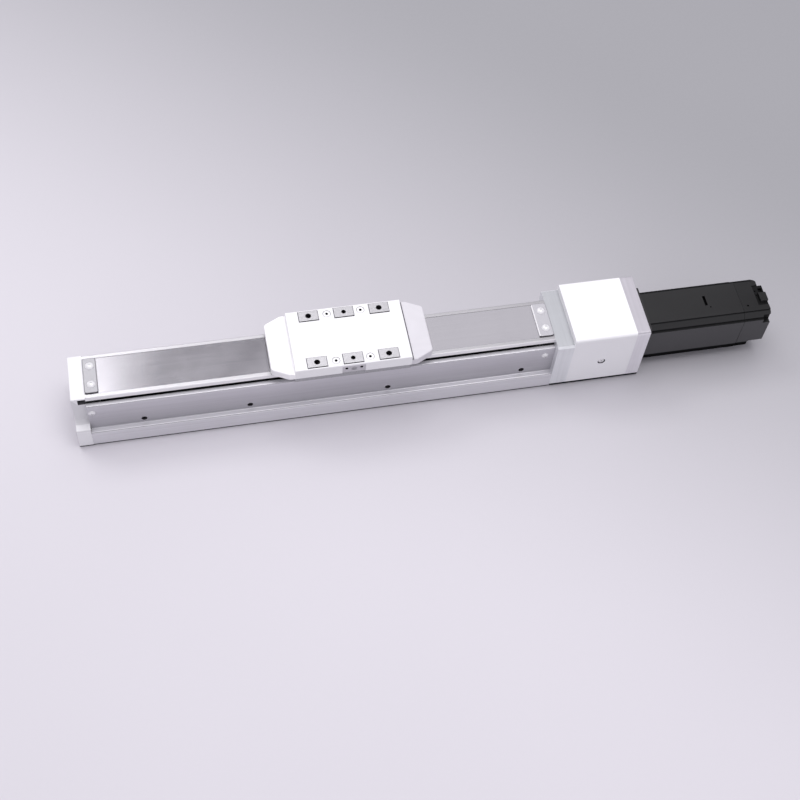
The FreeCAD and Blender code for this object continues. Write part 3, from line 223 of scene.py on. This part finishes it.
def ground(name, base, rough=(0.14, 0.26)):
    """Hardened and ground steel, bright, with a faint oil film."""
    f = Finish(name, metal=1.0, color=base)
    lay = f.noise((900.0, 900.0, 900.0), 4.0, 0.6)
    film = f.noise(70.0, 3.0, 0.6, 0.8)
    body = f.multiply(f.ramp(lay, (0.3, tone(base, 0.92)), (0.7, tone(base, 1.05))),
                      f.ramp(film, (0.35, (0.93, 0.92, 0.90)), (0.6, (1.0,) * 3)))
    return f.done(body, f.span(film, *rough), None, f.bump(lay, 0.000004, 0.5))


def oxide(name, base=(0.045, 0.045, 0.048), rough=(0.30, 0.46), metal=0.7):
    """Black oxide steel: mottled, with bare metal showing on its edges."""
    f = Finish(name, metal=metal, color=base)
    mott = f.noise(420.0, 4.0, 0.6)
    body = f.ramp(mott, (0.3, tone(base, 0.7)), (0.7, tone(base, 1.5)))
    body = f.mix(f.math("MULTIPLY", f.edges(0.0003), 0.45), body, (0.30, 0.30, 0.31))
    return f.done(body, f.span(mott, *rough), None, f.bump(mott, 0.00001, 0.5))


def black_paint(name, base=(0.020, 0.020, 0.022), rough=(0.30, 0.42), peel=0.00003, ior=1.5):
    """Satin black paint over a casting."""
    f = Finish(name, color=base)
    f.gloss(ior)
    drift = f.noise((9.0, 30.0, 30.0), 3.0)
    fine = f.noise(1400.0, 3.0, 0.6)
    body = f.ramp(drift, (0.35, tone(base, 0.80)), (0.65, tone(base, 1.20)))
    body = f.mix(f.math("MULTIPLY", f.edges(0.0005), 0.25), body, (0.050, 0.050, 0.054))
    r = f.math("ADD", f.span(drift, *rough), f.span(fine, -0.03, 0.03))
    return f.done(body, r, None, f.bump(fine, peel, 0.5))


def moulded(name, base, rough=(0.42, 0.58), spark=0.00002, ior=1.5):
    """Moulded plastic with a fine spark-eroded texture."""
    f = Finish(name, color=base)
    f.gloss(ior)
    tex = f.cells(2300.0)
    flow = f.noise(45.0, 2.0, 0.5, 1.2)
    body = f.ramp(flow, (0.35, tone(base, 0.96)), (0.65, tone(base, 1.02)))
    body = f.mix(f.math("MULTIPLY", f.edges(0.0005), 0.30), body, tone(base, 0.90))
    return f.done(body, f.span(flow, *rough), None, f.bump(tex, spark, 0.5))


def rubber(name, base, rough=(0.62, 0.80), ior=1.5):
    f = Finish(name, color=base)
    f.gloss(ior)
    bloom = f.noise(150.0, 4.0, 0.6)
    fine = f.noise(2000.0, 2.0)
    body = f.ramp(bloom, (0.35, tone(base, 0.8)), (0.70, tone(base, 1.5)))
    return f.done(body, f.span(bloom, *rough), None, f.bump(fine, 0.00002, 0.6))


def painted_shade_thread_hole(name, base=(0.10, 0.10, 0.105), along="Z", pitch=0.0008):
    """Wall of a tapped hole, painted dark as painted shade inside the hole; the thread turns are painted as rings
    of light and shade.
    """
    f = Finish(name, metal=0.85, color=base)
    turns = f.math("SINE", f.math("MULTIPLY", f.axis(along), 2.0 * math.pi / pitch))
    body = f.ramp(f.span(turns, 0.0, 1.0, -1.0, 1.0), (0.1, tone(base, 0.25)), (0.9, tone(base, 1.5)))
    return f.done(body, f.span(f.noise(1500.0), 0.35, 0.5), None,
                  f.bump(turns, 0.00012, 0.6))


def copper(name):
    f = Finish(name, metal=0.9, color=(0.60, 0.24, 0.10))
    wire = f.wave(1500.0, "X", 1.2)
    lacq = f.noise(90.0, 3.0)
    body = f.multiply(f.ramp(wire, (0.0, (0.22, 0.07, 0.03)), (1.0, (0.68, 0.29, 0.13))),
                      f.ramp(lacq, (0.3, (0.75,) * 3), (0.7, (1.0,) * 3)))
    return f.done(body, f.span(lacq, 0.22, 0.36), None, f.bump(wire, 0.0001, 0.7))


def board(name):
    f = Finish(name, color=(0.02, 0.17, 0.07))
    tracks = f.cells((700.0, 700.0, 160.0), "Color")
    fine = f.noise(900.0, 2.0)
    lit = f.ramp(tracks, (0.35, (0.012, 0.11, 0.045)), (0.65, (0.03, 0.24, 0.10)))
    body = f.mix(f.span(f.cells(420.0), 1.0, 0.0, 0.10, 0.14), lit, (0.72, 0.60, 0.28))
    return f.done(body, f.span(fine, 0.28, 0.42), None, f.bump(fine, 0.00002, 0.4))


WHITE = (0.87, 0.865, 0.88)
M = {
    "table": powder("slide_white", WHITE),
    # one moulded white in two tones: a darker copy for the right slide end as painted shade, a lighter copy for the
    # left slide end and the right clamp's edge as painted light
    "slide_end": moulded("slide_end_painted_shade_white", (0.65, 0.635, 0.67), (0.40, 0.52)),
    "painted_highlight_white": moulded("painted_highlight_white_moulded", (0.93, 0.92, 0.935), (0.40, 0.52)),
    "cap": powder("cap_white", (0.80, 0.795, 0.815)),
    # a darker copy of the cap white for its side walls: painted shade
    "cap_painted_shade": powder("cap_side_white", (0.66, 0.655, 0.675)),
    # the cover is painted darker from its left end towards its right: a painted falloff of light
    "cover": anodised("cover_anodised", (0.53, 0.522, 0.543), (7.0, 1500.0, 1500.0), (0.30, 0.42), 0.8, ("X", 0.09, -0.25, 0.72)),
    # a lighter, less metallic copy of the cover finish for its side faces: painted light
    "cover_painted_light": anodised("cover_side_anodised", (0.80, 0.79, 0.81), (7.0, 1500.0, 1500.0), (0.34, 0.46), 0.25),
    "house": powder("housing_white", (0.85, 0.845, 0.865)),
    # the rail is painted darker towards the bottom of its wall: painted shade
    "rail": anodised("rail_anodised", (0.622, 0.612, 0.649), (7.0, 950.0, 950.0), (0.36, 0.46), 0.72, ("Z", 0.0180, 0.0400, 0.72)),
    # a lighter, less metallic copy of the rail finish for its upward faces: painted light
    "ledge": anodised("ledge_painted_light_anodised", (0.75, 0.74, 0.775), (7.0, 950.0, 950.0), (0.36, 0.46), 0.4),
    # a darker copy of the rail finish for its fillets: painted shade that damps their highlight
    "rail_edge_painted_shade": anodised("rail_edge_anodised", (0.36, 0.354, 0.376), (7.0, 950.0, 950.0), (0.36, 0.46), 0.72),
    "foot": anodised("foot_anodised", (0.70, 0.69, 0.725), (7.0, 950.0, 950.0), (0.40, 0.50), 0.35),
    "block": anodised("block_anodised", (0.79, 0.80, 0.825), (420.0, 900.0, 10.0), (0.36, 0.46), 0.4),
    # darker copies of the block and plate finishes for their tops: painted shade
    "block_top_painted_shade": anodised("block_top_anodised", (0.45, 0.46, 0.48), (420.0, 10.0, 900.0), (0.36, 0.46), 0.4),
    "plate_top_painted_shade": anodised("plate_top_anodised", (0.49, 0.47, 0.51), (500.0, 12.0, 900.0), (0.36, 0.46), 0.3),
    "plate": anodised("plate_anodised", (0.81, 0.79, 0.835), (500.0, 900.0, 12.0), (0.36, 0.46), 0.3),
    "strip": brushed("strip_stainless", (0.304, 0.295, 0.316), (6.0, 5200.0, 5200.0), (0.15, 0.20), 0.000002),
    "clamp": anodised("clamp_satin", (0.36, 0.355, 0.375), (2200.0, 60.0, 2200.0), (0.30, 0.42), 0.45),
    # a lighter copy of the clamp finish for the right clamp's top: painted light
    "clamp_right_painted_light": anodised("clamp_right_painted_light_satin", (0.48, 0.473, 0.50), (2200.0, 60.0, 2200.0), (0.30, 0.42), 0.45),
    "port": brushed("port_stainless", (0.60, 0.593, 0.612), (60.0, 2200.0, 2200.0), (0.26, 0.38)),
    "pad": machined("pad_milled", (0.47, 0.464, 0.48), 2300.0, "X", (0.32, 0.46)),
    # a dark copy of the milled finish for pad walls, the slide end joint and clamp sides: painted shade
    "painted_shade_edge": machined("painted_shade_edge", (0.20, 0.195, 0.21), 2300.0, "Z", (0.40, 0.55)),
    # tapped-hole walls: painted shade inside the holes, with painted thread rings
    "pad_hole": painted_shade_thread_hole("pad_thread_painted_shade", (0.085, 0.08, 0.09), "Z"),
    "side_hole": painted_shade_thread_hole("side_thread_painted_shade", (0.075, 0.07, 0.08), "Y", 0.0007),
    "bore": machined("bore_machined", (0.36, 0.36, 0.375), 1800.0, "Z"),
    # a darker grey for the rail's inner faces: painted shade inside the channel; also the tone of the grease
    # nipples
    "inside": anodised("rail_inside", (0.45, 0.45, 0.465)),
    # near-black for set-backs, slot ends and undersides: painted shade
    "pocket": rubber("painted_shade_black_rubber", (0.035, 0.035, 0.038)),
    # dark grey for shallow recesses: painted shade
    "painted_shade_grey": moulded("painted_shade_grey", (0.105, 0.10, 0.11)),
    "bright": anodised("screw_bright", (0.82, 0.815, 0.83), (900.0, 900.0, 900.0), (0.24, 0.36), 0.55),
    # near-white, barely metallic heads: zinc tone plus a painted highlight on the domes
    "table_screw": anodised("screw_zinc_and_painted_highlight", (0.86, 0.855, 0.87), (900.0, 900.0, 900.0), (0.34, 0.46), 0.2),
    # near-black for sockets and small holes: painted shade
    "socket": oxide("painted_shade_socket_dark", (0.02, 0.02, 0.022)),
    "oxide": oxide("screw_oxide"),
    "ground": ground("ground_steel", (0.60, 0.60, 0.605)),
    "balls": ground("ball_steel", (0.70, 0.70, 0.705), (0.06, 0.14)),
    "nut": ground("nut_steel", (0.50, 0.50, 0.51), (0.20, 0.32)),
    "carriage": machined("carriage_steel", (0.50, 0.50, 0.515), 1500.0, "Y"),
    "rubber": rubber("bumper_rubber", (0.022, 0.022, 0.023)),
    "wiper": rubber("wiper_rubber", (0.030, 0.030, 0.032)),
    "motor": black_paint("motor_black", (0.0042, 0.0040, 0.0045), (0.30, 0.42), 0.00003, 1.44),
    # a lighter copy of the motor black for its front and back faces: painted light
    "motor_side_painted_light": black_paint("motor_side_black", (0.0250, 0.0244, 0.0270), (0.30, 0.42), 0.00003, 1.6),
    "bevel": black_paint("bevel_black", (0.0055, 0.0055, 0.0060), (0.34, 0.46), 0.00003, 1.50),
    # near-black for the motor's corner grooves: painted shade
    "painted_shade_crease": rubber("crease_black", (0.006, 0.006, 0.0066), (0.62, 0.80), 1.32),
    # near-black for set-back corners, far bevels, the slit and relief bands: painted shade
    "groove": rubber("painted_shade_near_black", (0.0035, 0.0035, 0.0038), (0.70, 0.85), 1.12),
    "flange": black_paint("flange_black", (0.0045, 0.0045, 0.005), (0.34, 0.46)),
    "encoder": black_paint("encoder_black", (0.0040, 0.0040, 0.0044), (0.34, 0.46), 0.00003, 1.40),
    "connector": moulded("connector_black", (0.005, 0.005, 0.0055), (0.45, 0.60), 0.00002, 1.2),
    "caps": moulded("return_cap_black", (0.03, 0.03, 0.033)),
    "hub": machined("hub_alloy", (0.66, 0.66, 0.67), 1900.0, "X"),
    "spider": rubber("spider_red", (0.42, 0.035, 0.03), (0.40, 0.55)),
    "copper": copper("winding_copper"),
    "board": board("encoder_board"),
    "rotor": oxide("rotor_steel", (0.11, 0.11, 0.115), (0.30, 0.42), 0.85),
    "disc": ground("disc_steel", (0.62, 0.62, 0.63), (0.10, 0.18)),
}

DRESS = {
    "table": ["slide_table"],
    "slide_end": ["slide_end_right"],
    "painted_highlight_white": ["slide_end_left"],
    "cap": ["left_end_cap"],
    "cover": ["top_cover"],
    "house": ["coupling_housing"],
    "rail": ["base_rail"],
    "block": ["bearing_block"],
    "plate": ["motor_adapter_plate"],
    "strip": ["seal_strip"],
    "clamp": ["strip_clamp_left", "strip_clamp_right"],
    "port": ["grease_port_plates"],
    "bright": ["side_wall_screws", "end_cap_screws"],
    "table_screw": ["table_screws", "strip_clamp_screws", "access_plug"],
    "oxide": ["bearing_block_screws", "housing_bolts", "motor_screws", "retainer_screws",
              "encoder_cover_screws", "bearing_lock_nut", "bearing_retainer", "coupling_set_screws"],
    "ground": ["guide_rail_front", "guide_rail_rear", "support_bearing_outer", "support_bearing_inner",
               "fixed_bearing_outer", "fixed_bearing_inner", "ball_screw", "motor_shaft",
               "motor_bearings_outer", "motor_bearings_inner"],
    "balls": ["support_bearing_balls", "fixed_bearing_balls", "nut_balls", "guide_balls", "motor_bearing_balls"],
    "nut": ["ball_nut"],
    "carriage": ["carriage_block"],
    "rubber": ["left_bumper", "right_bumper"],
    "wiper": ["strip_wipers"],
    "motor": ["motor_stator"],
    "flange": ["motor_flange"],
    "encoder": ["encoder_cover"],
    "connector": ["motor_connector"],
    "caps": ["nut_return_caps"],
    "hub": ["coupling_hub_screw", "coupling_hub_motor"],
    "spider": ["coupling_spider"],
    "copper": ["stator_coils"],
    "board": ["encoder_board"],
    "rotor": ["motor_rotor"],
    "inside": ["grease_nipples"],
    "disc": ["encoder_disc"],
}


def dress(node, key):
    slots = nodes[node].data.materials
    slots.clear()
    slots.append(M[key])


for key, names in DRESS.items():
    for n in names:
        dress(n, key)


def patch(node, key, test):
    """Gives the faces that pass the test (centre, normal) another finish."""
    me = nodes[node].data
    me.materials.append(M[key])
    k = len(me.materials) - 1
    for p in me.polygons:
        if test(p.center, p.normal):
            p.material_index = k


def near(c, x, y, r):
    return math.hypot(c.x - x, c.y - y) < r


# milled pads, tapped holes and screw seats of the slide table
PADS = [(SLIDE_X + 0.0255 * i, 0.020 * s) for i in (-1, 0, 1) for s in (-1, 1)]
SEATS = [(SLIDE_X + 0.01215 * i, 0.0203 * s) for i in (-1, 1) for s in (-1, 1)]


def on_pad(c, n):
    return c.z > 0.06062 and any(abs(c.x - x) < 0.00690 and abs(c.y - y) < 0.00410 for x, y in PADS)


def round_pad(c, n):
    """Side walls of a pad and the narrow groove around it."""
    if not 0.0600 < c.z < 0.06108:
        return False
    return any(abs(c.x - x) < 0.00738 and abs(c.y - y) < 0.00458 for x, y in PADS) and not any(near(c, x, y, 0.0026) for x, y in PADS)


patch("slide_table", "pad", on_pad)
# the pads' side walls and the groove around them painted dark: painted shade along the pad edges
patch("slide_table", "painted_shade_edge", lambda c, n: round_pad(c, n) and (abs(n.z) < 0.3 or c.z < 0.06055))
# the pads' tapped holes take the painted shade of the hole walls
patch("slide_table", "pad_hole", lambda c, n: c.z < 0.06109 and any(near(c, x, y, 0.00212) for x, y in PADS))
patch("slide_table", "bore", lambda c, n: c.z < 0.06058 and any(near(c, x, y, 0.00292) for x, y in SEATS))

# the table screws' hex sockets painted near-black: painted shade
patch("table_screws", "socket", lambda c, n: c.z > 0.0580 and any(near(c, x, y, 0.00112) for x, y in SEATS))
# holes of the grease port plates and the recess behind them, painted near-black: painted shade
patch("grease_port_plates", "socket", lambda c, n: any(math.hypot(c.x - SLIDE_X - k, c.z - 0.0563) < 0.00113 for k in (-0.0053, 0.0053)))
patch("slide_table", "socket", lambda c, n: abs(n.y) > 0.9 and 0.0235 < abs(c.y) < 0.0242 and abs(c.x - SLIDE_X) < 0.0084 and c.z < 0.0591)
# joint of the right slide end painted dark as painted shade; the right clamp's top painted lighter as painted light
# and its rounded front edge painted white as a painted highlight; the cut sides of the strip clamps painted dark as
# painted shade
patch("slide_end_right", "painted_shade_edge", lambda c, n: c.x < -0.01745 and c.z > 0.0563)
patch("strip_clamp_right", "clamp_right_painted_light", lambda c, n: n.z > 0.9)
patch("strip_clamp_right", "painted_highlight_white", lambda c, n: n.x < -0.3 and c.z > 0.0485)
for part in ("strip_clamp_left", "strip_clamp_right"):
    patch(part, "painted_shade_edge", lambda c, n: abs(n.y) > 0.5)

# tapped holes and inner faces of the base rail, painted darker: painted shade inside the holes and the channel
SIDE = [-0.2088, -0.1338, -0.0338, 0.0662]
patch("base_rail", "inside", lambda c, n: abs(c.y) < 0.01885 and c.z > 0.0099)
patch("base_rail", "side_hole", lambda c, n: abs(c.y) < 0.02149 and any(math.hypot(c.x - x, c.z - 0.0199) < 0.00213 for x in SIDE))
patch("base_rail", "pad_hole", lambda c, n: 0.00001 < c.z < 0.0085 and any(near(c, x, y, 0.00213) for x in SIDE for y in (-0.013, 0.013)))


patch("base_rail", "foot", lambda c, n: abs(c.y) > 0.0240 and c.z > 0.0009 and abs(n.y) > 0.5)
# the upward faces low on the rail and the flat wall top painted lighter: painted light
patch("base_rail", "ledge", lambda c, n: n.z > 0.9 and c.z < 0.0165 and abs(c.y) > 0.0214)
patch("base_rail", "ledge", lambda c, n: n.z > 0.9 and c.z > 0.0410)
# the fillets along the wall top and the low step painted darker: painted shade over their highlight
patch("base_rail", "rail_edge_painted_shade", lambda c, n: 0.6 < n.z < 0.9 and c.z > 0.0410 and abs(c.y) > 0.0200)
patch("base_rail", "rail_edge_painted_shade", lambda c, n: 0.6 < n.z < 0.9 and c.z < 0.0165 and abs(c.y) > 0.0245)
patch("base_rail", "foot", lambda c, n: 0.05 < n.z < 0.6 and c.z < 0.0165 and abs(c.y) > 0.0245)
# the shallow set-back along the foot of rail and cap painted near-black: a painted contact shadow
for part in ("base_rail", "left_end_cap"):
    patch(part, "pocket", lambda c, n: c.z < 0.00149 and abs(c.y) > 0.0250 and abs(n.z) < 0.9)
# the cap's side walls painted darker: painted shade
patch("left_end_cap", "cap_painted_shade", lambda c, n: abs(n.y) > 0.3 and abs(c.y) > 0.0170 and 0.0165 < c.z < 0.0420)

# painted shade in recesses: the ends of the slots, the motor's slit, pin hole and corner grooves are painted dark
patch("left_end_cap", "painted_shade_grey", lambda c, n: -0.25205 < c.x < -0.2460 and 0.0135 < abs(c.y) < 0.01825 and 0.0420 < c.z < 0.0477)
patch("left_end_cap", "pocket", lambda c, n: c.x > -0.2466 and (c.z > 0.0420 or abs(c.y) > 0.0165))
patch("bearing_block", "pocket", lambda c, n: c.x < 0.0889 and (c.z > 0.0420 or abs(c.y) > 0.0165))
# the cover's underside painted near-black: painted shade under the cover
patch("top_cover", "pocket", lambda c, n: c.z < 0.0457)
# the cover's side faces and the inner walls of its rim painted lighter: painted light
patch("top_cover", "cover_painted_light", lambda c, n: c.z > 0.0457 and abs(n.y) > 0.5 and abs(c.y) > 0.0170)
patch("top_cover", "cover_painted_light", lambda c, n: c.z > 0.0457 and abs(n.y) > 0.5 and 0.0140 < abs(c.y) < 0.0160)


def in_groove(c, n):
    u, v = abs(c.y), c.z - AXIS_Z
    return (abs(n.x) < 0.5 and (u > 0.0132 and v > 0.0132)
            and (abs(n.y) > 0.95 or abs(n.z) > 0.95) and min(u, v) < 0.0147 and max(u, v) < 0.01895)


def on_bevel(c, n):
    return n.z > 0.6 and abs(n.y) > 0.6


def in_step(c, n):
    """The set-back lower corners, which are painted near-black as painted shade."""
    return abs(n.x) < 0.5 and c.z < 0.0148 and abs(c.y) > 0.0173


# the front and back faces of motor and encoder painted lighter: painted light
patch("motor_stator", "motor_side_painted_light", lambda c, n: abs(n.y) > 0.95 and abs(c.y) > 0.0185)
patch("encoder_cover", "motor_side_painted_light", lambda c, n: abs(n.y) > 0.95 and abs(c.y) > 0.0185)
patch("motor_stator", "bevel", on_bevel)
patch("motor_stator", "painted_shade_crease", in_groove)
patch("motor_stator", "groove", in_step)
patch("encoder_cover", "bevel", on_bevel)
patch("encoder_cover", "painted_shade_crease", in_groove)
patch("encoder_cover", "groove", lambda c, n: c.x < 0.2456 and in_step(c, n))
# raised box of the connector: its sides take the lighter motor-side copy as painted light, its top the encoder
# black, and its sockets stay dark
patch("motor_connector", "motor_side_painted_light", lambda c, n: abs(n.y) > 0.5 and c.z > 0.0467 and not -0.0060 < c.y < 0.0008)
patch("motor_connector", "encoder", lambda c, n: n.z > 0.5 and c.z > 0.0484)
# the far bevels painted near-black: painted shade
for part in ("motor_stator", "encoder_cover"):
    patch(part, "groove", lambda c, n: on_bevel(c, n) and c.y > 0.0)
patch("motor_stator", "groove", lambda c, n: 0.2075 < c.x < 0.2128 and abs(c.y) < 0.0062 and 0.0440 < c.z < 0.04695)

# the tops of the bearing block and the adapter plate painted darker: painted shade
patch("bearing_block", "block_top_painted_shade", lambda c, n: n.z > 0.9 and c.z > 0.0480 and c.x > 0.0890)
patch("motor_adapter_plate", "plate_top_painted_shade", lambda c, n: n.z > 0.5 and c.z > 0.0530)
# the relief band under block, housing and plate painted near-black: a painted contact shadow
for part in ("bearing_block", "coupling_housing", "motor_adapter_plate"):
    patch(part, "groove", lambda c, n: c.z < 0.00279)
# the ring around the access plug painted dark grey: painted shade
patch("coupling_housing", "painted_shade_grey", lambda c, n: -0.02645 < c.y < -0.0200 and math.hypot(c.x - 0.1255, c.z - 0.0251) < 0.00292)
# the inner part of the plug painted near-black: painted shade
patch("access_plug", "pocket", lambda c, n: c.y > -0.0240)

# ------------------------------------------------------------------- stage
def slab(name, half, z):
    me = bpy.data.meshes.new(name)
    bm = bmesh.new()
    bmesh.ops.create_grid(bm, x_segments=24, y_segments=24, size=half)
    bmesh.ops.translate(bm, verts=bm.verts, vec=(0, 0, z))
    bm.to_mesh(me)
    bm.free()
    o = bpy.data.objects.new(name, me)
    scene.collection.objects.link(o)
    return o


floor = slab("floor", 4.0, -0.0002)
f = Finish("floor_pale", rough=0.7, color=(0.66, 0.62, 0.69))
grain = f.noise(380.0, 3.0)
pale = f.ramp(f.noise(3.0, 2.0), (0.35, (0.623, 0.603, 0.644)), (0.65, (0.633, 0.613, 0.654)))
# painted falloff of light: the floor is painted darker towards its far right corner
depth = f.math("ADD", f.axis("Y"), f.math("MULTIPLY", f.axis("X"), 0.9))
floor_painted_falloff = f.ramp(f.span(depth, 0.0, 1.0, -0.24, 0.50), (0.0, (1.0,) * 3), (1.0, (0.50, 0.515, 0.51)))
floor_painted_falloff.node.color_ramp.interpolation = "EASE"
floor.data.materials.append(f.done(f.multiply(pale, floor_painted_falloff), f.span(grain, 0.62, 0.74), None, f.bump(grain, 0.00002, 0.3)))

world = bpy.data.worlds.new("studio")
world.use_nodes = True
world.node_tree.nodes["Background"].inputs["Color"].default_value = (0.94, 0.925, 0.99, 1.0)
world.node_tree.nodes["Background"].inputs["Strength"].default_value = 0.71
scene.world = world


def panel(name, at, to, width, height, watts, color=(1, 1, 1)):
    d = bpy.data.lights.new(name, "AREA")
    d.shape = "RECTANGLE"
    d.size, d.size_y = width, height
    d.energy = watts
    d.color = color
    o = bpy.data.objects.new(name, d)
    o.location = at
    o.rotation_euler = (Vector(to) - Vector(at)).to_track_quat("-Z", "Y").to_euler()
    scene.collection.objects.link(o)
    return o


# wide soft key overhead, a faint front fill, and two panels at the back that the strip mirrors
panel("key", (0.15, 0.05, 1.60), (0.08, 0.0, 0.0), 1.5, 0.8, 13.0, (1.0, 0.985, 1.0))
panel("front", (0.20, -2.20, 0.90), (0.0, 0.0, 0.0), 3.0, 1.2, 1.5, (1.0, 0.985, 1.0))
panel("back_left", (-1.02, 1.30, 1.90), (-1.02, 1.30, 0.0), 1.4, 0.8, 14.8)
panel("back_right", (0.52, 1.30, 1.90), (0.52, 1.30, 0.0), 0.80, 0.8, 2.2)

cam_data = bpy.data.cameras.new("camera")
cam_data.sensor_width = 36.0
cam_data.lens = 63.64
cam_data.clip_start, cam_data.clip_end = 0.01, 50.0
cam = bpy.data.objects.new("camera", cam_data)
cam.matrix_world = Matrix((
    (0.97986564, 0.12773090, -0.15345403, -0.183607),
    (-0.19000720, 0.83263231, -0.52021217, -0.564484),
    (0.06132361, 0.53889540, 0.84013758, 0.876546),
    (0.0, 0.0, 0.0, 1.0),
))
scene.collection.objects.link(cam)
scene.camera = cam
scene.view_settings.view_transform = "Standard"
scene.view_settings.look = "None"
